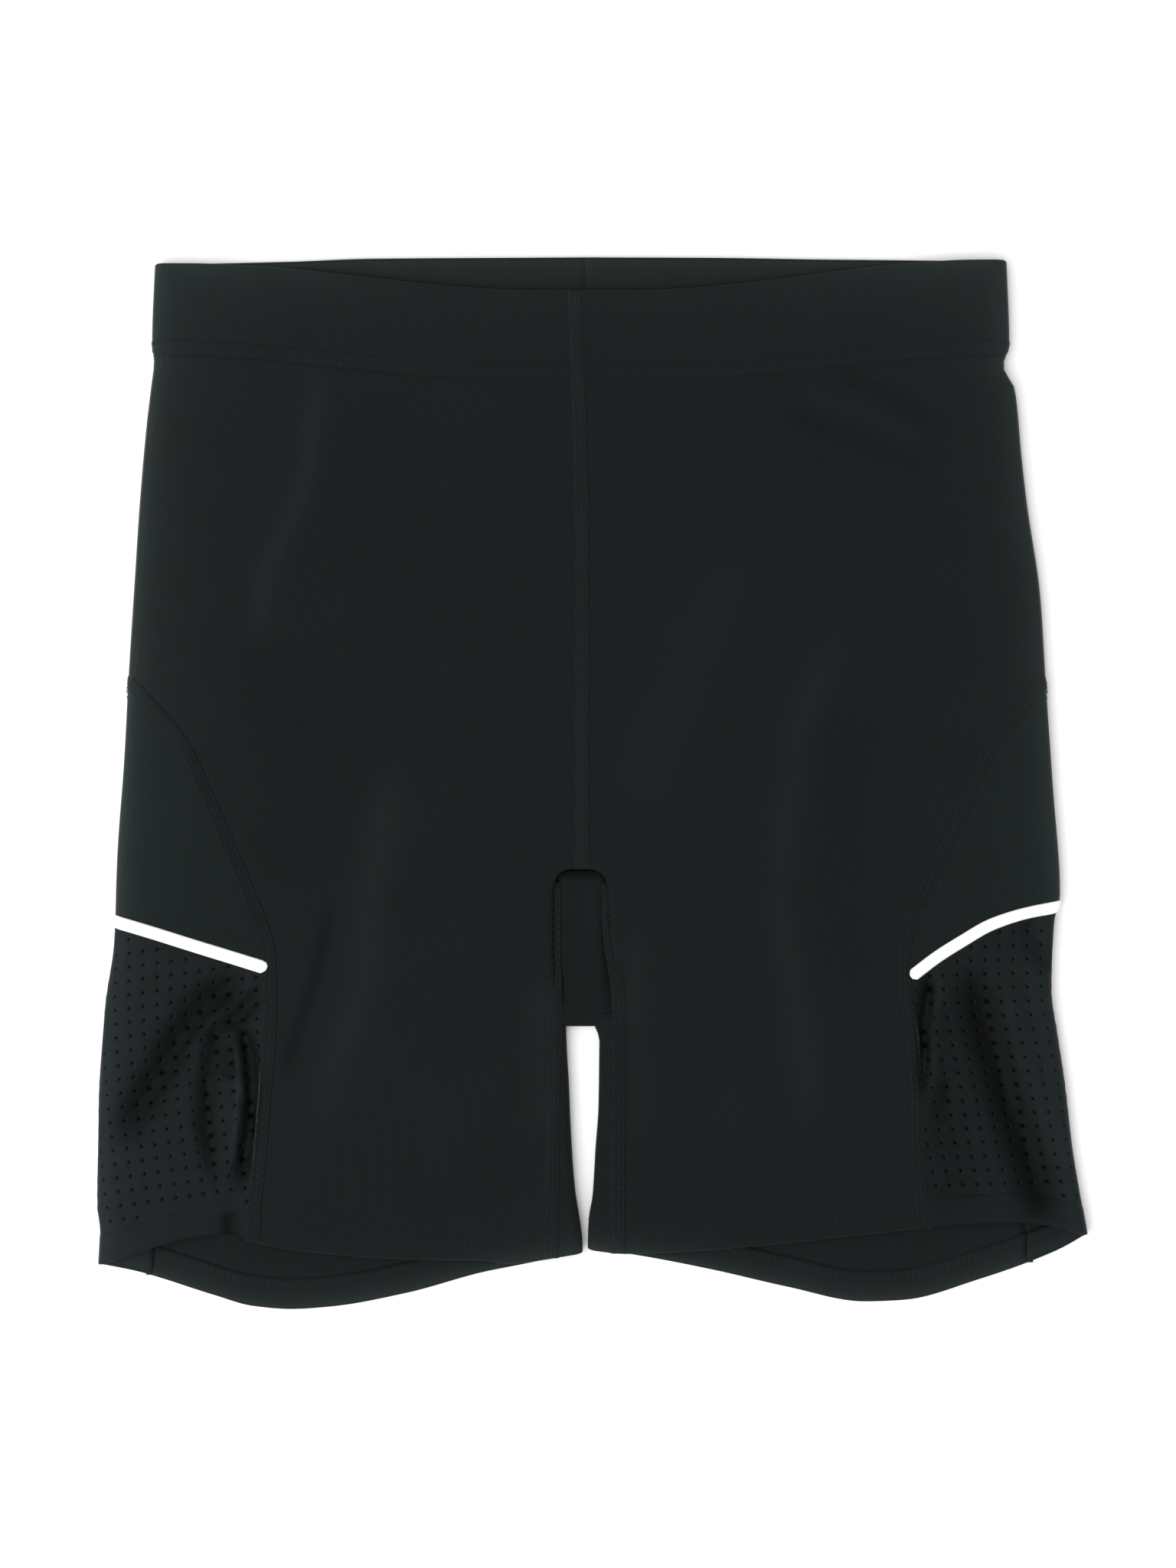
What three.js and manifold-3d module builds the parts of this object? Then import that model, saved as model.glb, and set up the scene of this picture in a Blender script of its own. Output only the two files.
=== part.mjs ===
// A pair of close-fitting sports shorts, lying flat on the back with the front up.
//
// Frame, in millimetres: X runs across the shorts and is 0 on the centre seams, +X is the wearer's left,
// +Y runs towards the waist, and Z is up from the surface that the back lies on. The origin is the middle
// of the overall width and length, on that surface.
//
// The garment is one flattened tube of cloth that splits into two legs. Its wall is a rounded slab less a
// smaller slab inside it. Each piece is the part of a wall that stands over the piece's own outline in
// plan: on the front layer, on the back layer, or round a fold on both.

import * as THREE from "three";
import { mergeVertices } from "three/addons/utils/BufferGeometryUtils.js";
import Module from "manifold-3d";

const wasm = await Module();
wasm.setup();

// ---- Overall sizes of the shorts as they lie ----
const length = 440; // back waist edge to the lowest point of the back hem
const waistHalf = 178.4; // half of the width across the waist corners
const hemHalf = 207.4; // half of the width across the outer hem corners
const sideBow = 2; // pull on the middle of the side's curve, outwards
const loft = 12; // height of the relaxed tube
const foldFlat = 1; // straight part of the cloth between the two rounds of a fold

// ---- Cloth and clearances ----
const cloth = 1; // wall of the body cloth, with its air
const elasticThickness = 0.9;
const facingThickness = 0.6;
const liningThickness = 0.6;
const turnUpThickness = 0.8;
const seamWidth = 6; // a flatlock seam
const gap = 0.3; // clearance between pieces that touch

// ---- Waist ----
const waistbandHeight = 37.4; // at the sides and the back
const frontBandHeight = 35.5; // at the centre front
const cornerDrop = 2.6; // the waist corners below the middle of the back edge
const frontDip = 14; // the middle of the front edge below the middle of the back edge
const waistFlat = 60; // how far the waist lines run level from the centre seams
const waistSeamWidth = 4.5;
const elasticInset = 1.5; // top edge of the waistband to the elastic in it
const facingInset = 0.5; // top edge of the waistband to the facing inside it

// ---- Legs and hems ----
const innerHemLift = 25; // inner hem corners above the lowest point of the back hem
const outerHemLift = 25; // outer hem corners above that point
const hemLowAt = 121; // lowest point of the back hem, from the centre
const hemLowInside = 48; // level pull of the back hem at its lowest point, towards the centre
const hemLowOutside = 35; // and towards the side
const frontHemArch = 14; // pull on the front hem, upwards
const frontHemArchAt = 125; // where that pull is, from the centre
const hemHeight = 12.8; // hem edge to the top of the turned-up cloth
const turnUpInset = 1; // hem edge to the turned-up cloth inside it
const inseamLength = 93.4; // crotch fold to the inner hem corners
const slotTopHalf = 7; // half of the gap between the legs at the crotch
const slotHemHalf = 1.2; // half of that gap at the hem

// ---- Gusset between the legs ----
const gussetHalf = 11; // half of its width, front and back
const gussetFront = 64; // crotch fold to its front end
const gussetBack = 42; // crotch fold to its back end
const gussetCorner = 5; // radius of its corners
const gussetTail = 10; // how far it runs down the legs past the crotch fold
const liningInset = 1.5; // gusset's edge to the lining inside it

// ---- Side panels, by how far in from the side fold and how far down from the waist corner ----
const sideSeamStart = 172.8; // down to where the side seam crosses the side fold
const sideSeamDown = 293.6; // down to where it becomes the leg seam
const sideSeamShape = {
  front: { pull: { inward: 49.4, down: 227.4 }, end: 66.9, hem: 66.9 },
  back: { pull: { inward: 13, down: 228 }, end: 22.5, hem: 24.5 },
};
const pipingWidth = 5.2;
const pipingOuter = { inward: 0, down: 272.4 };
const pipingPull = { inward: 33.8, down: 277.4 };
const pipingInner = { inward: 67.1, down: 297 };

// ---- Finishes ----
const finishes = {
  knit: { color: 0x1f2324, roughness: 0.85, metalness: 0 },
  sideKnit: { color: 0x25292a, roughness: 0.85, metalness: 0 },
  mesh: { color: 0x1c1f20, roughness: 0.5, metalness: 0 },
  thread: { color: 0x2a2e2f, roughness: 0.7, metalness: 0 },
  tape: { color: 0xf2f4f4, roughness: 0.35, metalness: 0 },
  elastic: { color: 0x141617, roughness: 0.8, metalness: 0 },
  facing: { color: 0x2a2f2f, roughness: 0.9, metalness: 0 },
};

// ---- Places worked out from those sizes ----
const top = length / 2;
const bottom = -length / 2;
const waistCorner = top - cornerDrop;
const innerHem = bottom + innerHemLift;
const outerHem = bottom + outerHemLift;
const crotch = innerHem + inseamLength;
const foldRadius = (loft - foldFlat) / 2;
const middle = loft / 2;
const reach = Math.max(hemHalf, waistHalf) + 3 * foldRadius; // past the sides
const beyond = top + 60; // past the waist and the hems
const pastCentre = -2 * seamWidth;
const seamHalf = seamWidth / 2;
const beside = seamHalf + gap; // a panel's edge from the middle of the seam that it meets

// ---- How finely curves are followed ----
const foldSteps = 3; // facets in a quarter of a fold
const sideSteps = 6;
const lineSteps = 8;
const cornerSteps = 4;
const crotchSteps = 8;

const v2 = (x, y) => new THREE.Vector2(x, y);

// ---------- Lines in plan, on the wearer's left ----------

// A line of points moved sideways, to the left of its own direction.
function offset(points, distance) {
  return points.map((point, i) => {
    const before = points[Math.max(i - 1, 0)];
    const after = points[Math.min(i + 1, points.length - 1)];
    const intoPoint = point.clone().sub(i ? before : point);
    const outOfPoint = after.clone().sub(point);
    const along = intoPoint.normalize().add(outOfPoint.normalize()).normalize();
    const turn = i && i < points.length - 1 ? Math.abs(along.dot(intoPoint)) : 1;
    return v2(point.x - (along.y * distance) / turn, point.y + (along.x * distance) / turn);
  });
}

const raised = (points, distance) => points.map((p) => v2(p.x, p.y + distance));

// The end of a line carried on past the shorts' edge, in the direction that it already has.
function carriedOn(from, to, distance) {
  return to.clone().add(to.clone().sub(from).setLength(distance));
}

// A line from the centre to the side that starts level.
function waistLine(centreY, cornerY) {
  const curve = new THREE.QuadraticBezierCurve(v2(0, centreY), v2(waistFlat, centreY), v2(waistHalf, cornerY));
  return [v2(pastCentre, centreY), ...curve.getPoints(lineSteps), v2(reach, cornerY)];
}

const waistEdge = {
  front: waistLine(top - frontDip, waistCorner),
  back: waistLine(top, waistCorner),
};
const waistSeam = {
  front: waistLine(top - frontDip - frontBandHeight, waistCorner - waistbandHeight),
  back: waistLine(top - waistbandHeight, waistCorner - waistbandHeight),
};

const sideFold = new THREE.QuadraticBezierCurve(
  v2(waistHalf, waistCorner),
  v2((waistHalf + hemHalf) / 2 + sideBow, (waistCorner + outerHem) / 2),
  v2(hemHalf, outerHem),
);

// A place on the front, from how far in it is from the side fold and how far down from the waist corner.
function fromSide({ inward, down }) {
  const edge = sideFold.getPoint(down / (waistCorner - outerHem));
  return v2(edge.x - inward, edge.y);
}

const frontHemCurve = new THREE.QuadraticBezierCurve(
  v2(0, innerHem),
  v2(frontHemArchAt, Math.max(innerHem, outerHem) + frontHemArch),
  v2(hemHalf, outerHem),
);
const backHemInside = new THREE.QuadraticBezierCurve(
  v2(0, innerHem),
  v2(hemLowAt - hemLowInside, bottom),
  v2(hemLowAt, bottom),
);
const backHemOutside = new THREE.QuadraticBezierCurve(
  v2(hemLowAt, bottom),
  v2(hemLowAt + hemLowOutside, bottom),
  v2(hemHalf, outerHem),
);
const hemEnds = [v2(pastCentre, innerHem), v2(reach, outerHem)];
const hem = {
  front: [hemEnds[0], ...frontHemCurve.getPoints(lineSteps), hemEnds[1]],
  back: [
    hemEnds[0],
    ...backHemInside.getPoints(lineSteps),
    ...backHemOutside.getPoints(lineSteps).slice(1),
    hemEnds[1],
  ],
};

// The side seam runs in from the side fold, and goes on down the leg to the hem. The back one stays near the
// fold, so that the side panel is mostly on the front.
function seamDownLeg({ pull, end, hem }) {
  const start = fromSide({ inward: 0, down: sideSeamStart });
  const foot = fromSide({ inward: end, down: sideSeamDown });
  const legFoot = v2(hemHalf - hem, innerHem + frontHemArch / 2);
  const curve = new THREE.QuadraticBezierCurve(start, fromSide(pull), foot);
  return [
    carriedOn(fromSide(pull), start, 3 * foldRadius),
    ...curve.getPoints(lineSteps),
    carriedOn(foot, legFoot, beyond + legFoot.y),
  ];
}

const sideSeam = { front: seamDownLeg(sideSeamShape.front), back: seamDownLeg(sideSeamShape.back) };

const pipingCurve = new THREE.QuadraticBezierCurve(
  fromSide(pipingInner),
  fromSide(pipingPull),
  fromSide(pipingOuter),
);
const piping = [
  ...pipingCurve.getPoints(lineSteps),
  carriedOn(fromSide(pipingPull), fromSide(pipingOuter), 3 * foldRadius),
];

// The line round the gusset: level from the centre, round its corner, and down beside the leg's inner fold.
function gussetLine(half, end, corner) {
  const arc = new THREE.EllipseCurve(half - corner, end - corner, corner, corner, Math.PI / 2, 0, true);
  return [v2(pastCentre, end), ...arc.getPoints(cornerSteps), v2(half, -beyond)];
}

const inseam = gussetLine(gussetHalf + beside, crotch + gussetFront + beside, gussetCorner + beside);
const gussetEdge = {
  front: gussetLine(gussetHalf, crotch + gussetFront, gussetCorner),
  back: gussetLine(gussetHalf, crotch + gussetBack, gussetCorner),
};

// ---------- Solids ----------

// A closed geometry as a solid that can be cut and joined.
function solid(geometry) {
  const bare = geometry.clone();
  bare.deleteAttribute("normal");
  bare.deleteAttribute("uv");
  const merged = mergeVertices(bare, 1e-5);
  return new wasm.Manifold(
    new wasm.Mesh({
      numProp: 3,
      vertProperties: Float32Array.from(merged.attributes.position.array),
      triVerts: Uint32Array.from(merged.index.array),
    }),
  );
}

// The outline of the slabs' flat faces, which is inside the tube's outline by the radius of a fold.
function flatOutline() {
  const side = [];
  for (let i = 0; i <= sideSteps; i += 1) {
    const point = sideFold.getPoint(i / sideSteps);
    side.push(v2(point.x - foldRadius, point.y));
  }
  const ends = [v2(side[0].x, beyond), v2(side[sideSteps].x, -beyond)];
  const slot = [v2(slotHemHalf + foldRadius, -beyond), v2(slotHemHalf + foldRadius, innerHem)];
  const crotchRadius = slotTopHalf + foldRadius;
  const arc = new THREE.EllipseCurve(
    0, crotch - slotTopHalf, crotchRadius, crotchRadius, 0, Math.PI / 2, false,
  );
  const left = [ends[0], ...side, ends[1], ...slot, ...arc.getPoints(crotchSteps / 2)];
  const right = left.slice(0, -1).reverse().map((p) => v2(-p.x, p.y));
  return new THREE.Shape([...left, ...right]);
}

// The rounded slab whose surface is a given depth inside the shorts' outer surface.
function slab(depth) {
  const geometry = new THREE.ExtrudeGeometry(flatOutline(), {
    depth: foldFlat,
    bevelThickness: foldRadius - depth,
    bevelSize: foldRadius - depth,
    bevelSegments: foldSteps,
  });
  geometry.translate(0, 0, foldRadius);
  return solid(geometry);
}

const wall = (depth, thickness) => slab(depth).subtract(slab(depth + thickness));

// Everything over an outline in plan.
function over(points, low = -gap, high = loft + gap) {
  const depth = high - low;
  const geometry = new THREE.ExtrudeGeometry(new THREE.Shape(points), { depth, bevelEnabled: false });
  geometry.translate(0, 0, low);
  return solid(geometry);
}

const corner = {
  centreTop: v2(pastCentre, beyond),
  centreFoot: v2(pastCentre, -beyond),
  sideTop: v2(reach, beyond),
  sideFoot: v2(reach, -beyond),
};
const everywhere = [corner.centreTop, corner.sideTop, corner.sideFoot, corner.centreFoot];
const frontLayer = over(everywhere, middle, loft + gap);
const backLayer = over(everywhere, -gap, middle);

const below = (line) => over([...line, corner.sideFoot, corner.centreFoot]);
const above = (line) => over([...line, corner.sideTop, corner.centreTop]);
const insideGusset = (line) => over([...line, corner.centreFoot]);
const outsideGusset = (line) => over([...line, corner.sideFoot, corner.sideTop, corner.centreTop]);
const level = (y) => [v2(pastCentre, y), v2(reach, y)];
const leftOfCentre = (x) => over([v2(x, beyond), corner.sideTop, corner.sideFoot, v2(x, -beyond)]);

// The body's side of the side seam, or the side panels' side of it.
const seamShoulder = (line) => v2(reach, line[0].y);
const insideSeam = (line) =>
  over([...line, corner.centreFoot, corner.centreTop, corner.sideTop, seamShoulder(line)]);
const outsideSeam = (line) => over([...line, corner.sideFoot, seamShoulder(line)]);

const common = (...solids) => solids.reduce((a, b) => a.intersect(b));
const layered = (front, back) => front.intersect(frontLayer).add(back.intersect(backLayer));
const strip = (line, half, keep) =>
  over([...offset(line, half), ...offset(line, -half).reverse()]).intersect(keep);

// A piece on both layers, whose outline in plan is worked out for each layer.
function piece(pieceWall, outlineOf) {
  return pieceWall.intersect(layered(outlineOf("front"), outlineOf("back")));
}

// ---------- Pieces ----------

const clothWall = wall(0, cloth);
const besideCentre = leftOfCentre(beside);
const leftHalf = leftOfCentre(0);
const bodySide = layered(
  insideSeam(offset(sideSeam.front, -beside)),
  insideSeam(offset(sideSeam.back, -beside)),
);
const panelSide = layered(
  outsideSeam(offset(sideSeam.front, beside)),
  outsideSeam(offset(sideSeam.back, beside)),
);
const legs = below(level(crotch - gussetTail - gap));

function bodyPanel() {
  const front = common(
    besideCentre,
    below(offset(waistSeam.front, -waistSeamWidth / 2 - gap)),
    outsideGusset(offset(inseam, beside)),
    bodySide,
    above(hem.front),
  );
  const roundInnerLeg = common(leftHalf, legs, insideGusset(gussetEdge.front), above(hem.front));
  const besideGusset = besideCentre.intersect(outsideGusset(offset(gussetEdge.back, gap)));
  const back = common(
    besideGusset.add(leftHalf.intersect(legs)),
    below(offset(waistSeam.back, -waistSeamWidth / 2 - gap)),
    bodySide,
    above(hem.back),
  );
  return clothWall.intersect(layered(front.add(roundInnerLeg), back));
}

const waistband = () =>
  piece(clothWall, (layer) =>
    common(
      besideCentre,
      below(waistEdge[layer]),
      above(offset(waistSeam[layer], waistSeamWidth / 2 + gap)),
    ),
  );

const waistSeamStrip = () =>
  piece(clothWall, (layer) => strip(waistSeam[layer], waistSeamWidth / 2, besideCentre));

// The elastic and the facing inside the waistband. One half runs under the centre seams to their far edge.
function waistLayer(depth, thickness, topInset, startAt) {
  return piece(wall(depth, thickness), (layer) =>
    common(
      leftOfCentre(startAt),
      below(raised(waistEdge[layer], -topInset)),
      above(waistSeam[layer]),
    ),
  );
}

const sidePanel = () => clothWall.intersect(panelSide).intersect(above(offset(piping, pipingWidth / 2 + gap)));

const pipingStrip = () => clothWall.intersect(strip(piping, pipingWidth / 2, panelSide));

const sideSeamStrip = () =>
  piece(clothWall, (layer) => strip(sideSeam[layer], seamHalf, above(hem[layer])));

const meshPanel = () =>
  piece(clothWall, (layer) =>
    common(
      panelSide,
      below(offset(piping, -pipingWidth / 2 - gap)),
      above(raised(hem[layer], hemHeight + gap)),
    ),
  );

const meshHem = () =>
  piece(clothWall, (layer) => common(panelSide, below(raised(hem[layer], hemHeight)), above(hem[layer])));

const hemTurnUp = () =>
  piece(wall(cloth + gap, turnUpThickness), (layer) =>
    common(
      leftHalf,
      bodySide,
      below(raised(hem[layer], hemHeight)),
      above(raised(hem[layer], turnUpInset)),
    ),
  );

const inseamStrip = () =>
  common(clothWall, frontLayer, strip(inseam, seamHalf, besideCentre), above(hem.front));

// ---------- Assembly ----------

const shorts = new THREE.Group();
shorts.name = "shorts";

function geometryOf(body) {
  const { vertProperties, triVerts, numProp } = body.getMesh();
  const geometry = new THREE.BufferGeometry();
  geometry.setAttribute("position", new THREE.BufferAttribute(Float32Array.from(vertProperties), numProp));
  geometry.setIndex([...triVerts]);
  geometry.computeVertexNormals();
  return geometry;
}

function mirrored(geometry) {
  const copy = geometry.clone().scale(-1, 1, 1);
  const index = copy.index.array;
  for (let i = 0; i < index.length; i += 3) {
    [index[i], index[i + 1]] = [index[i + 1], index[i]];
  }
  copy.computeVertexNormals();
  return copy;
}

function add(name, geometry, finish) {
  const mesh = new THREE.Mesh(geometry, new THREE.MeshStandardMaterial(finishes[finish]));
  mesh.name = name;
  shorts.add(mesh);
}

// A piece for each half of the shorts. The right half's is the left half's mirrored, unless it is given.
function addPair(name, finish, leftBody, rightBody = leftBody) {
  add(`left_${name}`, geometryOf(leftBody), finish);
  add(`right_${name}`, mirrored(geometryOf(rightBody)), finish);
}

// A piece that lies across the centre.
function addAcross(name, finish, leftBody) {
  const right = solid(mirrored(geometryOf(leftBody)));
  add(name, geometryOf(leftBody.add(right)), finish);
}

addPair("body_panel", "knit", bodyPanel());
addPair("side_panel", "sideKnit", sidePanel());
addPair("mesh_panel", "mesh", meshPanel());
addPair("mesh_hem", "mesh", meshHem());
addPair("reflective_piping", "tape", pipingStrip());
addPair("side_seam", "thread", sideSeamStrip());
addPair("inseam", "thread", inseamStrip());
addPair("hem_turn_up", "knit", hemTurnUp());
addPair("waistband", "knit", waistband());
addPair("waist_seam", "thread", waistSeamStrip());

// The centre seams belong to the right half, so the right half's elastic and facing end under their far edge.
const elasticDepth = cloth + gap;
const facingDepth = elasticDepth + elasticThickness + gap;
addPair(
  "waist_elastic",
  "elastic",
  waistLayer(elasticDepth, elasticThickness, elasticInset, beside),
  waistLayer(elasticDepth, elasticThickness, elasticInset, -seamHalf),
);
addPair(
  "waist_facing",
  "facing",
  waistLayer(facingDepth, facingThickness, facingInset, beside),
  waistLayer(facingDepth, facingThickness, facingInset, -seamHalf),
);

const underSeam = leftHalf.subtract(leftOfCentre(seamHalf));
addAcross(
  "centre_front_seam",
  "thread",
  common(clothWall, frontLayer, underSeam, below(waistEdge.front), above(level(crotch + gussetFront + gap))),
);
addAcross(
  "centre_back_seam",
  "thread",
  common(clothWall, backLayer, underSeam, below(waistEdge.back), above(level(crotch + gussetBack + gap))),
);

function gusset(gussetWall, inset) {
  const tails = above(level(crotch - gussetTail + inset));
  return piece(gussetWall, (layer) =>
    common(leftHalf, insideGusset(offset(gussetEdge[layer], -inset)), tails),
  );
}
addAcross("gusset", "knit", gusset(clothWall, 0));
addAcross("gusset_lining", "facing", gusset(wall(cloth + gap, liningThickness), liningInset));

export default shorts;
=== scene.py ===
"""Close-fitting sports shorts, lying flat on the back with the front up.

Every piece of cloth is cut flat and then laid. Flat, a point of cloth is (c, y, lift) in millimetres: c is
how far along the cloth it is from the side fold, forwards over the front layer and backwards over the back
layer, y is how far up the shorts it is, and lift is how far it stands off the cloth's outer face. place()
says where such a point lies. lay() moves a whole piece there and keeps the flat place as its UV map, in
metres.
"""

import math
from bisect import bisect_right

import bmesh
import bpy
from bpy.props import FloatProperty, FloatVectorProperty, PointerProperty
from mathutils import Matrix, Vector, noise


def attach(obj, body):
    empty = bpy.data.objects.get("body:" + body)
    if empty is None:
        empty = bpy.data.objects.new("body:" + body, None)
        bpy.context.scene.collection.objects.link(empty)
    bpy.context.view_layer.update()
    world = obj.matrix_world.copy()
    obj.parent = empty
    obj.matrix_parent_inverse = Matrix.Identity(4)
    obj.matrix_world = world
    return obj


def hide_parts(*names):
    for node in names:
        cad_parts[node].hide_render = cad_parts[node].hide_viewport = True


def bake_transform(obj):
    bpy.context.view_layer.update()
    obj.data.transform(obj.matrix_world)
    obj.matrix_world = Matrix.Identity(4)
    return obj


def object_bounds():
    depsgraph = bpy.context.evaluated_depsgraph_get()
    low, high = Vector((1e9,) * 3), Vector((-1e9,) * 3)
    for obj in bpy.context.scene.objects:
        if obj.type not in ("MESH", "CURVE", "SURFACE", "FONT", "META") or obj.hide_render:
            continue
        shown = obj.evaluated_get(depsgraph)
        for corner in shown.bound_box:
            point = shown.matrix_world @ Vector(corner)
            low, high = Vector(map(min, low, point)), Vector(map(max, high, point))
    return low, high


bl_info = {
    "name": "Sports Shorts",
    "version": (1, 0, 0),
    "blender": (4, 5, 0),
    "location": "View3D > Sidebar > Shorts",
    "description": "Makes a pair of sports shorts with perforated side panels around its packed frame",
    "category": "Object",
}

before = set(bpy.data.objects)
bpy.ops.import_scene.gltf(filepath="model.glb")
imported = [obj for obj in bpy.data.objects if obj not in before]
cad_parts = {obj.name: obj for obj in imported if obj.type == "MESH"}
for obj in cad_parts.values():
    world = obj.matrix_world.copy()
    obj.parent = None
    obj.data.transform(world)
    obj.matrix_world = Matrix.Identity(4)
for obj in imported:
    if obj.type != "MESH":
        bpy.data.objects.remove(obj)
CAD_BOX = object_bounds()

MM = 0.001
DRAWN = (414.4, 438.8)  # width and length of the shorts that the outlines below are drawn for
FIT = [(CAD_BOX[1][i] - CAD_BOX[0][i]) / (DRAWN[i] * MM) for i in range(2)]

# ---- How the tube of cloth lies, in millimetres ----
MIDDLE = 4.6  # height of the side folds' outermost line
FOLD = 4.4  # how far a side fold's round reaches in
INNER = 3.5  # how far the round of a leg's inner fold reaches in
QUARTER = FOLD * math.pi / 2
INNER_QUARTER = INNER * math.pi / 2
LOFT = 8.9  # the front layer beside the folds
SAG = 1.7  # how much lower it lies between them
FLOOR_GAP = 0.85  # the back layer above the floor, which leaves room for its seams
LEG_TOP = -90.0  # below this the two legs have folds of their own
CROTCH = -101.6  # the fold between the legs

# ---- Where the body panels are divided ----
SEAM_TOP = 46.0  # the side seam crosses the side fold here
RIM_TOP = -36.0  # front end of the gusset
RIM_ROUND = 8.0  # radius of the corners there
GUSSET_BACK = -60.0  # back end of the gusset
GUSSET_BACK_HALF = 12.0
LEG_WRAP_TOP = -96.0  # the inner legs' cloth starts here
INSEAM_TOP = -41.5  # upper end of the front inseams
WAIST_TOP = 217.0  # the waistband's top corners
FRONT_EDGE = 205.4  # the waistband's top edge at the centre front
FRONT_SEAM = 169.8  # the waist seam there
BACK_SEAM = 182.4  # and at the centre back
CORNER_SEAM = 179.3  # and on the side folds

# ---- Edges of the cloth ----
HEM_RADIUS = 0.75  # round of a hem's fold
BAND_RADIUS = 1.15  # round of the waistband's top edge
RIM_STEPS = [(0.0, 0.0, lift) for lift in (-0.45, -0.7, -0.9, -0.9)]  # the edge turned down at the gusset
RIM_STEPS_END = -78.0  # height down to which it is turned down
TURN_UP = 0.4  # thickness of the cloth turned up inside the hems
HEM_ROWS = 4.5  # between the hem's two rows of stitches

# ---- Seams: a strip's lifts run across its width ----
SEAM_LIFTS = (0.0, 0.3, 0.42, 0.42, 0.42, 0.3, 0.0)
SEAM_ROWS = (-2.1, 0.0, 2.1)  # rows of stitches, off the seam's middle
SEAM_STRIP = 0.45  # thickness of a flatlock seam's strip
THREAD_LIFT = 0.5  # its thread above the cloth
SEAM_END = 0.2  # from a leg's seam to the hem's edge
CENTRE_SEAM_SHARE = 1.16  # how much lighter the centre front seam's cloth is than the cloth beside it
FURROW_SHARE = 0.6  # a seam's width down in the furrow beside the gusset, as a share
FURROW_SINK = 1.7  # how deep it lies there
WAIST_SEAM_HALF = 3.2  # half of the waist seam's width
WAIST_SEAM_LIFTS = (0.0, 0.1, 0.14, 0.1, 0.0)
WAIST_ROWS = (-1.6, 1.6)

# ---- Perforated panels and tape ----
PERFORATED = 0.3  # thickness of the perforated cloth
GRAIN = {"right": math.radians(8.0), "left": math.radians(-2.0)}  # how far the rows of holes are turned
PUNCH_CENTRE = -125.0  # height of the middle of the rows
HOLES = (29, 27)  # holes each way, enough to cover the panel
PLAIN_HEM = 11.6  # the panel's own cloth starts this far above the hem's edge
TAPE_REACH = {"right": 68.0, "left": 61.6}  # the tape's front end, along the cloth from the side fold
TAPE_END = -66.0  # height of its back end
TAPE_CORNER = 1.5  # radius of its corners
TAPE_LIFTS = (0.25, 0.72, 0.8, 0.8, 0.8, 0.72, 0.25)

# ---- Gusset ----
GUSSET_EDGES = (-13.4, 9.8, 12.6)  # across: right edge, left edge at the front end, and lower down
GUSSET_DEPTH = (1.3, 0.35)  # how deep it lies below the front's cloth, at its front end and lower down
FURROW_DEPTH = 1.9  # and how much deeper in the furrow around it

# ---- Light and shade painted into the cloth's colour ----
PAINTED_OUTLINE_LIGHT = 1.8  # painted light: how much brighter the cloth is painted right at the outline
OUTLINE_REACH = 4.0  # how far in that painted light fades
WAIST_EDGE_LIGHT_SHIFT = 2.5  # the waistband's top edge gets the painted outline light of cloth this far in from the other edges
PAINTED_WAIST_LIGHT = 0.6  # painted light: how much brighter the cloth is painted towards the waist
PAINTED_LIGHT_REACH = 22.0  # how far that and a side's own painted light reach
PAINTED_CREASE_HIGHLIGHT = 0.8  # painted highlight: how much brighter the cloth is painted for each millimetre that a crease lifts it
PAINTED_CREASE_SHADE = 0.42  # painted shade: how fast it is painted darker down in a crease, for each millimetre


def smooth(low, high, at):
    """0 below low and 1 above high, with a smooth rise between them."""
    share = min(max((at - low) / (high - low), 0.0), 1.0)
    return share * share * (3 - 2 * share)


def mix(a, b, share):
    return a + (b - a) * share


class Line:
    """A smooth line through (at, value) points, level past its ends and never past a point's own value."""

    def __init__(self, *points):
        points = sorted(points)
        self.at = [p[0] for p in points]
        self.value = [p[1] for p in points]
        steps = [(b[1] - a[1]) / (b[0] - a[0]) for a, b in zip(points, points[1:])]
        inner = [0.0 if a * b <= 0 else 2 * a * b / (a + b) for a, b in zip(steps, steps[1:])]
        self.slope = [steps[0], *inner, steps[-1]]

    def __call__(self, at):
        if at <= self.at[0]:
            return self.value[0]
        if at >= self.at[-1]:
            return self.value[-1]
        i = bisect_right(self.at, at) - 1
        span = self.at[i + 1] - self.at[i]
        t = (at - self.at[i]) / span
        bends = span * t * (1 - t) * (self.slope[i] * (1 - t) - self.slope[i + 1] * t)
        return mix(self.value[i], self.value[i + 1], t * t * (3 - 2 * t)) + bends


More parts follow.
